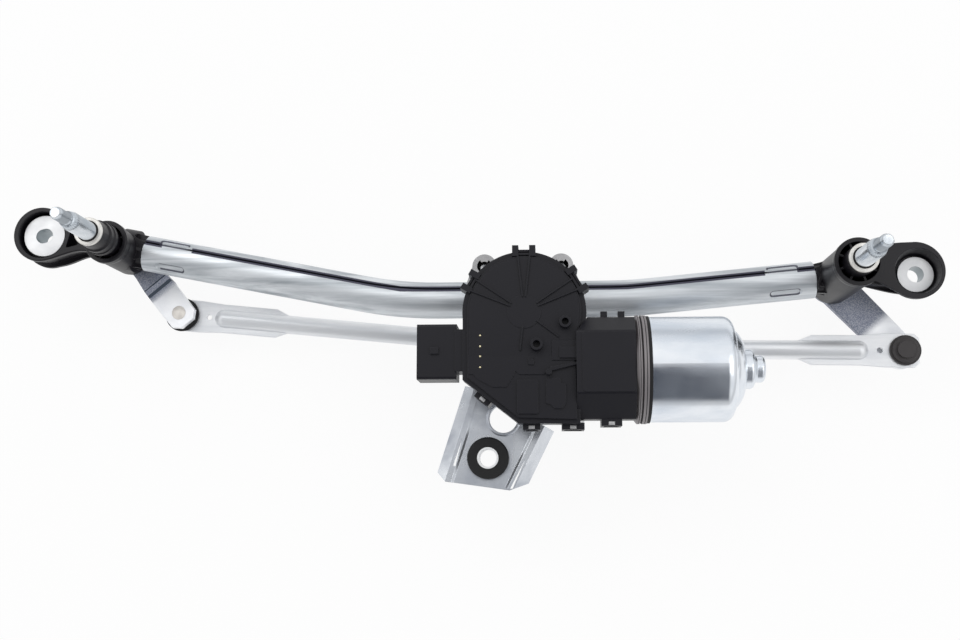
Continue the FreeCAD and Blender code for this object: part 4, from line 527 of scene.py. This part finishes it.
# The second colour of each moulding lightens its edges: partly rubbed wear, partly painted highlight
mouldedLooks = {
    "black_moulding": {"colour": (0.0075, 0.0068, 0.0095, 1), "wornAndSheen": (0.022, 0.021, 0.026, 1), "smooth": 0.33,
                       "rough": 0.46, "bump": 0.20, "specular": 0.32},
    "black_cover": {"colour": (0.0062, 0.0060, 0.0098, 1), "wornAndSheen": (0.016, 0.016, 0.022, 1), "smooth": 0.33,
                    "rough": 0.45, "bump": 0.22, "specular": 0.30},
    "black_rubber": {"colour": (0.010, 0.010, 0.011, 1), "wornAndSheen": (0.03, 0.03, 0.03, 1), "smooth": 0.6,
                     "rough": 0.8, "bump": 0.3, "specular": 0.35},
    "socket_plastic": {"colour": (0.030, 0.026, 0.027, 1), "wornAndSheen": (0.09, 0.085, 0.085, 1), "smooth": 0.34,
                       "rough": 0.5, "bump": 0.15},
    "gear_plastic": {"colour": (0.78, 0.74, 0.62, 1), "wornAndSheen": (0.86, 0.84, 0.76, 1), "smooth": 0.3, "rough": 0.45,
                     "bump": 0.08},
    "ferrite": {"colour": (0.07, 0.07, 0.075, 1), "wornAndSheen": (0.13, 0.13, 0.13, 1), "smooth": 0.45, "rough": 0.65,
                "bump": 0.3},
    "card_plastic": {"colour": (0.16, 0.11, 0.07, 1), "wornAndSheen": (0.26, 0.2, 0.14, 1), "smooth": 0.4, "rough": 0.55,
                     "bump": 0.12},
    "carbon": {"colour": (0.035, 0.035, 0.036, 1), "wornAndSheen": (0.1, 0.1, 0.1, 1), "smooth": 0.35, "rough": 0.6,
               "bump": 0.3},
}
finishes = {}
for slotName, look in metalLooks.items():
    finishes[slotName] = metalFinish(slotName, look)
for slotName, look in mouldedLooks.items():
    finishes[slotName] = mouldedFinish(slotName, look)
slotOfNode = {part["node"]: part["material_slot"] for part in frame["record"]["subparts"]}
for nodeName, piece in nodes.items():
    piece.data.materials.clear()
    piece.data.materials.append(finishes[slotOfNode[nodeName]])
print("finishes", len(finishes))


# Spindles: the turned shaft from the frame, cut at the knurl, with a real thread on its end
spindleThread = {
    "pitch": 1.25 * mm,
    "outer": 4.0 * mm,
    "root": 3.45 * mm,
    "below": 16.0 * mm,      # length of the threaded end
    "chamfer": 1.0 * mm,
    "tipIn": 0.6 * mm,      # how much the end face is smaller than the root
    "firstTurn": 0.9 * mm,
    "neck": (0.6 * mm, 1.1 * mm),      # where the shaft narrows to the root
    "overlap": 0.05 * mm,
    "steps": 28, "coreSteps": 40,
}


def threadedSpindle(side):
    nodeName = side + "_spindle"
    look = spindleThread
    washerLow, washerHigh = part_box(side + "_thrust_washer")
    axisX = (washerLow.x + washerHigh.x) / 2
    axisY = (washerLow.y + washerHigh.y) / 2
    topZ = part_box(nodeName)[1].z
    startZ = topZ - look["below"]
    bm = bmesh.new()
    bm.from_mesh(nodes[nodeName].data)
    bmesh.ops.remove_doubles(bm, verts=bm.verts[:], dist=0.000002)
    bmesh.ops.bisect_plane(bm, geom=bm.verts[:] + bm.edges[:] + bm.faces[:], dist=0.000001,
                           plane_co=(axisX, axisY, startZ + look["overlap"]), plane_no=(0, 0, 1), clear_outer=True)
    # thread: a toothed profile spun once round per turn while it climbs
    turns = int(look["below"] / look["pitch"]) - 2
    ridge = bmesh.new()
    profile = []
    for index in range(turns * 2 + 1):
        radius = look["root"] if index % 2 == 0 else look["outer"]
        height = startZ + look["firstTurn"] + index * look["pitch"] / 2
        profile.append(ridge.verts.new((axisX + radius, axisY, height)))
    edges = [ridge.edges.new(pair) for pair in zip(profile[:-1], profile[1:])]
    bmesh.ops.spin(ridge, geom=profile + edges, cent=(axisX, axisY, 0), axis=(0, 0, 1), angle=2 * math.pi,
                   dvec=(0, 0, look["pitch"] / look["steps"]), steps=look["steps"])
    core = bmesh.new()
    neckLow, neckHigh = look["neck"]
    outline = [(look["outer"], startZ + look["overlap"]), (look["outer"], startZ + neckLow),
               (look["root"] + look["overlap"], startZ + neckHigh),
               (look["root"] + look["overlap"], topZ - look["chamfer"]), (look["root"] - look["tipIn"], topZ),
               (0.0, topZ)]
    turned(core, axisX, axisY, outline, look["coreSteps"])
    for extra in (ridge, core):
        holder = bpy.data.meshes.new("extra")
        extra.to_mesh(holder)
        extra.free()
        bm.from_mesh(holder)
        bpy.data.meshes.remove(holder)
    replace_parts(meshPiece(side + "_threaded_spindle", bm, nodeName, "zinc_spindle", 28.0), nodeName)


for side in ("left", "right"):
    threadedSpindle(side)
print("spindles threaded")

# Weld beads: a row of overlapping ripples along each side of the tube
weldBead = {
    "ripple": 1.5 * mm, "radius": 2.0 * mm,
    "endIn": 0.6, "slim": 0.62,      # both as shares of the ripple's radius
    "lean": 0.35,
    "wobble": ((0.12 * mm, 2.4), (0.06 * mm, 5.1)),
    "segments": (16, 8),
}


def rippledBead(nodeName):
    look = weldBead
    low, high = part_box(nodeName)
    middleY = (low.y + high.y) / 2
    middleZ = (low.z + high.z) / 2
    endIn = look["radius"] * look["endIn"]
    count = max(3, int((high.x - low.x) / look["ripple"]))
    size = Matrix.Diagonal((look["slim"], (high.y - low.y) / look["radius"] * 0.5,
                            (high.z - low.z) / look["radius"] * 0.5, 1.0))
    bm = bmesh.new()
    for index in range(count):
        x = low.x + endIn + (index + 0.5) / count * (high.x - low.x - 2 * endIn)
        wobble = sum(height * math.sin(index * pace) for height, pace in look["wobble"])
        turn = Matrix.Translation((x, middleY + wobble, middleZ)) @ Matrix.Rotation(look["lean"], 4, "Y")
        bmesh.ops.create_uvsphere(bm, u_segments=look["segments"][0], v_segments=look["segments"][1],
                                  radius=look["radius"], matrix=turn @ size)
    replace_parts(meshPiece(nodeName + "_ripples", bm, "frame", "weld_metal", 180.0, welded=False), nodeName)


for nodeName in ("front_weld_bead", "rear_weld_bead"):
    rippledBead(nodeName)
print("weld beads")

# Lid skin: the slightly raised area of the gear cover inside its rim
lidSkin = {
    "middle": (24.3 * mm, 86.3 * mm), "radius": 33.2 * mm,
    "arcStart": -13.0, "arcSweep": 198.0, "arcSteps": 64,
    "low": 54.9 * mm, "top": 55.6 * mm, "proud": 0.02 * mm,
    "leftX": -9.2 * mm, "rightX": 54.7 * mm, "lowY": 60.0 * mm,
    "tuck": 4.0 * mm, "dip": 0.12 * mm,      # the lower edge dips into the area below it
}


def makeLidSkin():
    look = lidSkin
    middleX, middleY = look["middle"]
    outline = [(look["rightX"], look["lowY"] - look["tuck"])]
    for step in range(look["arcSteps"] + 1):
        turn = math.radians(look["arcStart"] + step * (look["arcSweep"] / look["arcSteps"]))
        spotX = middleX + look["radius"] * math.cos(turn)
        outline.append((max(spotX, look["leftX"]), middleY + look["radius"] * math.sin(turn)))
    outline.append((look["leftX"], look["lowY"] - look["tuck"]))
    bm = bmesh.new()
    face = bm.faces.new([bm.verts.new((x, y, look["low"])) for x, y in outline])
    raised = bmesh.ops.extrude_face_region(bm, geom=[face])
    lifted = [item for item in raised["geom"] if isinstance(item, bmesh.types.BMVert)]
    bmesh.ops.translate(bm, verts=lifted, vec=(0, 0, look["top"] + look["proud"] - look["low"]))
    bmesh.ops.bisect_plane(bm, geom=bm.verts[:] + bm.edges[:] + bm.faces[:], plane_co=(0, look["lowY"], 0),
                           plane_no=(0, 1, 0))
    below = [vert for vert in bm.verts if vert.co.y < look["lowY"] - look["tuck"] / 2]
    tucked = [vert for vert in below if vert.co.z > look["low"] + look["dip"]]
    bmesh.ops.translate(bm, verts=tucked, vec=(0, 0, -look["dip"]))
    meshPiece("cover_lid_skin", bm, "frame", "black_cover")


makeLidSkin()

# Contact ends: the tips of the plug contacts that show as dots in the lid
contactEnds = {
    "x": -2.3 * mm, "y": (71.9 * mm, 65.3 * mm, 59.2 * mm, 52.6 * mm),
    "radius": 0.62 * mm, "rise": 0.3 * mm, "foot": -0.3 * mm, "steps": 20,
    "dome": ((0.0, 1.0), (0.35, 0.93), (0.7, 0.65), (1.0, 0.1)),      # shares of radius and rise
}


def makeContactEnd(number, y):
    look = contactEnds
    profile = [(across * look["radius"], lidSkin["top"] + up * look["rise"]) for across, up in look["dome"]]
    profile.append((look["radius"], lidSkin["top"] + look["foot"]))
    bm = bmesh.new()
    turned(bm, look["x"], y, profile, look["steps"])
    meshPiece(f"contact_end_{number}", bm, "frame", "contact_brass")


for index, dotY in enumerate(contactEnds["y"]):
    makeContactEnd(index + 1, dotY)

# Latch noses of the gear housing, each showing in one snap frame of the cover
latchNoses = {
    "places": ((-0.4, 35.5, -37.86), (28.3, 18.8, 0.0), (53.2, 18.8, 0.0), (76.3, 21.0, 0.0)),      # x, y, turn
    "half": 1.9 * mm, "inner": -0.5 * mm, "outer": -2.7 * mm, "low": 36.0 * mm, "top": 47.35 * mm,
    "bevel": 0.35 * mm,
}


def makeLatchNose(number, placeX, placeY, degrees):
    look = latchNoses
    size = (2 * look["half"], look["inner"] - look["outer"], look["top"] - look["low"], 1.0)
    middle = Matrix.Translation((0, (look["inner"] + look["outer"]) / 2, (look["low"] + look["top"]) / 2))
    bm = bmesh.new()
    bmesh.ops.create_cube(bm, size=1.0, matrix=middle @ Matrix.Diagonal(size))
    upper = [edge for edge in bm.edges if all(vert.co.z > look["top"] - look["bevel"] for vert in edge.verts)]
    bmesh.ops.bevel(bm, geom=upper, offset=look["bevel"], offset_type="OFFSET", segments=3, profile=0.5,
                    affect="EDGES", material=-1)
    turn = Matrix.Translation((placeX * mm, placeY * mm, 0)) @ Matrix.Rotation(math.radians(degrees), 4, "Z")
    bmesh.ops.transform(bm, matrix=turn, verts=bm.verts[:])
    meshPiece(f"latch_nose_{number}", bm, "frame", "cast_alloy")


for index, place in enumerate(latchNoses["places"]):
    makeLatchNose(index + 1, *place)
print("cover details")

# Rubber boot round the left outer ball joint, between the crank's end and the link
jointBoot = {
    "middle": (-216.4 * mm, 101.7 * mm),
    "profile": ((6.2, -37.3), (10.9, -37.4), (11.7, -36.6), (11.6, -35.6), (10.4, -35.1), (10.7, -34.4),
                (10.1, -33.5), (9.0, -33.0), (6.2, -33.05)),
    "steps": 56,
}


def makeJointBoot():
    profile = [(radius * mm, height * mm) for radius, height in jointBoot["profile"]]
    bm = bmesh.new()
    turned(bm, *jointBoot["middle"], profile, jointBoot["steps"], closed=True)
    meshPiece("left_joint_boot", bm, "left_link", "black_rubber", 40.0)


makeJointBoot()
print("joint boot")

# Floor, world, lamps and camera
def makeFloor(lowestZ):
    bm = bmesh.new()
    bmesh.ops.create_grid(bm, x_segments=1, y_segments=1, size=studio["floorHalf"],
                          matrix=Matrix.Translation((0, 0, lowestZ - studio["floorGap"])))
    mesh = bpy.data.meshes.new("floor")
    bm.to_mesh(mesh)
    bm.free()
    floor = bpy.data.objects.new("floor", mesh)
    bpy.context.scene.collection.objects.link(floor)
    material = bpy.data.materials.new("floor")
    material.use_nodes = True
    tree = material.node_tree
    shader = tree.nodes["Principled BSDF"]
    setSockets(shader, {"Base Color": studio["floorColour"], "Roughness": 0.9, "Specular IOR Level": 0.0})
    glow = newNode(tree, "ShaderNodeEmission", (0, -200))
    setSockets(glow, {"Color": (1, 1, 1, 1), "Strength": 1.0})
    path = newNode(tree, "ShaderNodeLightPath", (-500, 200)).outputs
    seen = either(tree, path["Is Camera Ray"], path["Is Glossy Ray"], path["Is Transmission Ray"])
    mix = newNode(tree, "ShaderNodeMixShader", (250, 0))
    link = tree.links.new
    link(calc(tree, "MULTIPLY", seen, studio["floorGlow"]), mix.inputs["Fac"])
    link(shader.outputs["BSDF"], mix.inputs[1])
    link(glow.outputs["Emission"], mix.inputs[2])
    link(mix.outputs["Shader"], tree.nodes["Material Output"].inputs["Surface"])
    mesh.materials.append(material)


# The sky that reflections see: bright panels behind, at both sides and along the horizon, dark between them.
# Each panel: where its fade starts and ends on the unit sphere, then its two values.
skyPanels = {
    "bright": (1.0, 1.0, 1.0, 1.0),
    "dark": (0.038, 0.048, 0.070, 1.0),
    "rear": (-0.02, 0.14),
    "sides": (0.14, 0.34, 0.0, 0.9),
    "horizon": (0.30, 0.12),
    "low": (0.05, 0.45, 0.58, 1.0),      # dims all of them near the horizon
}


def makeWorld():
    world = bpy.data.worlds.new("studio")
    bpy.context.scene.world = world
    world.use_nodes = True
    tree = world.node_tree
    tree.nodes.clear()
    link = tree.links.new
    path = newNode(tree, "ShaderNodeLightPath", (-600, 300)).outputs
    coordinate = newNode(tree, "ShaderNodeTexCoord", (-1700, -100))
    split = newNode(tree, "ShaderNodeSeparateXYZ", (-1500, -100))
    link(coordinate.outputs["Generated"], split.inputs["Vector"])
    rear = fade(tree, split.outputs["Y"], *skyPanels["rear"])
    sides = fade(tree, calc(tree, "ABSOLUTE", split.outputs["X"]), *skyPanels["sides"])
    horizon = fade(tree, split.outputs["Z"], *skyPanels["horizon"])
    low = fade(tree, split.outputs["Z"], *skyPanels["low"])
    sky = newNode(tree, "ShaderNodeMix", (-300, -100), data_type="RGBA")
    sky.inputs["A"].default_value = skyPanels["dark"]
    sky.inputs["B"].default_value = skyPanels["bright"]
    link(calc(tree, "MULTIPLY", either(tree, rear, sides, horizon), low), sky.inputs["Factor"])
    lighting = newNode(tree, "ShaderNodeBackground", (-100, 100))
    setSockets(lighting, {"Color": (1, 1, 1, 1), "Strength": studio["worldLight"]})
    mirrored = newNode(tree, "ShaderNodeBackground", (-100, -100))
    link(sky.outputs["Result"], mirrored.inputs["Color"])
    shown = newNode(tree, "ShaderNodeBackground", (-100, -300))
    setSockets(shown, {"Color": (1, 1, 1, 1), "Strength": 1.0})
    glossy = newNode(tree, "ShaderNodeMixShader", (150, 50))
    link(path["Is Glossy Ray"], glossy.inputs["Fac"])
    link(lighting.outputs["Background"], glossy.inputs[1])
    link(mirrored.outputs["Background"], glossy.inputs[2])
    seen = newNode(tree, "ShaderNodeMixShader", (350, 0))
    link(either(tree, path["Is Camera Ray"], path["Is Transmission Ray"]), seen.inputs["Fac"])
    link(glossy.outputs["Shader"], seen.inputs[1])
    link(shown.outputs["Background"], seen.inputs[2])
    output = newNode(tree, "ShaderNodeOutputWorld", (600, 0))
    link(seen.outputs["Shader"], output.inputs["Surface"])


def aimed(place, target, up):
    ahead = (Vector(target) - Vector(place)).normalized()
    across = ahead.cross(Vector(up)).normalized()
    upright = across.cross(ahead)
    turn = Matrix((across, upright, -ahead)).transposed().to_4x4()
    return Matrix.Translation(place) @ turn


lamps = [
    {"name": "keyLamp", "place": (-0.7, 0.9, 1.5), "size": (1.4, 0.7), "energy": 5.0},
    {"name": "fillLamp", "place": (0.9, 0.1, 1.3), "size": (0.9, 0.9), "energy": 2.5},
]
lampTarget = (0, 0.09, 0)


def makeLamps():
    for look in lamps:
        light = bpy.data.lights.new(look["name"], "AREA")
        light.shape = "RECTANGLE"
        light.size, light.size_y = look["size"]
        light.energy = look["energy"]
        lamp = bpy.data.objects.new(look["name"], light)
        bpy.context.scene.collection.objects.link(lamp)
        lamp.matrix_world = aimed(look["place"], lampTarget, (0, 0, 1))


def makeCamera():
    data = bpy.data.cameras.new("camera")
    data.lens = studio["lens"]
    data.sensor_width = studio["sensor"]
    data.clip_start, data.clip_end = studio["clip"]
    camera = bpy.data.objects.new("camera", data)
    bpy.context.scene.collection.objects.link(camera)
    camera.matrix_world = aimed(studio["cameraPlace"], studio["cameraTarget"], (0, 1, 0))
    bpy.context.scene.camera = camera


makeFloor(firstLow.z)
makeWorld()
makeLamps()
makeCamera()
bpy.context.scene.view_settings.view_transform = "Standard"
print("studio ready")
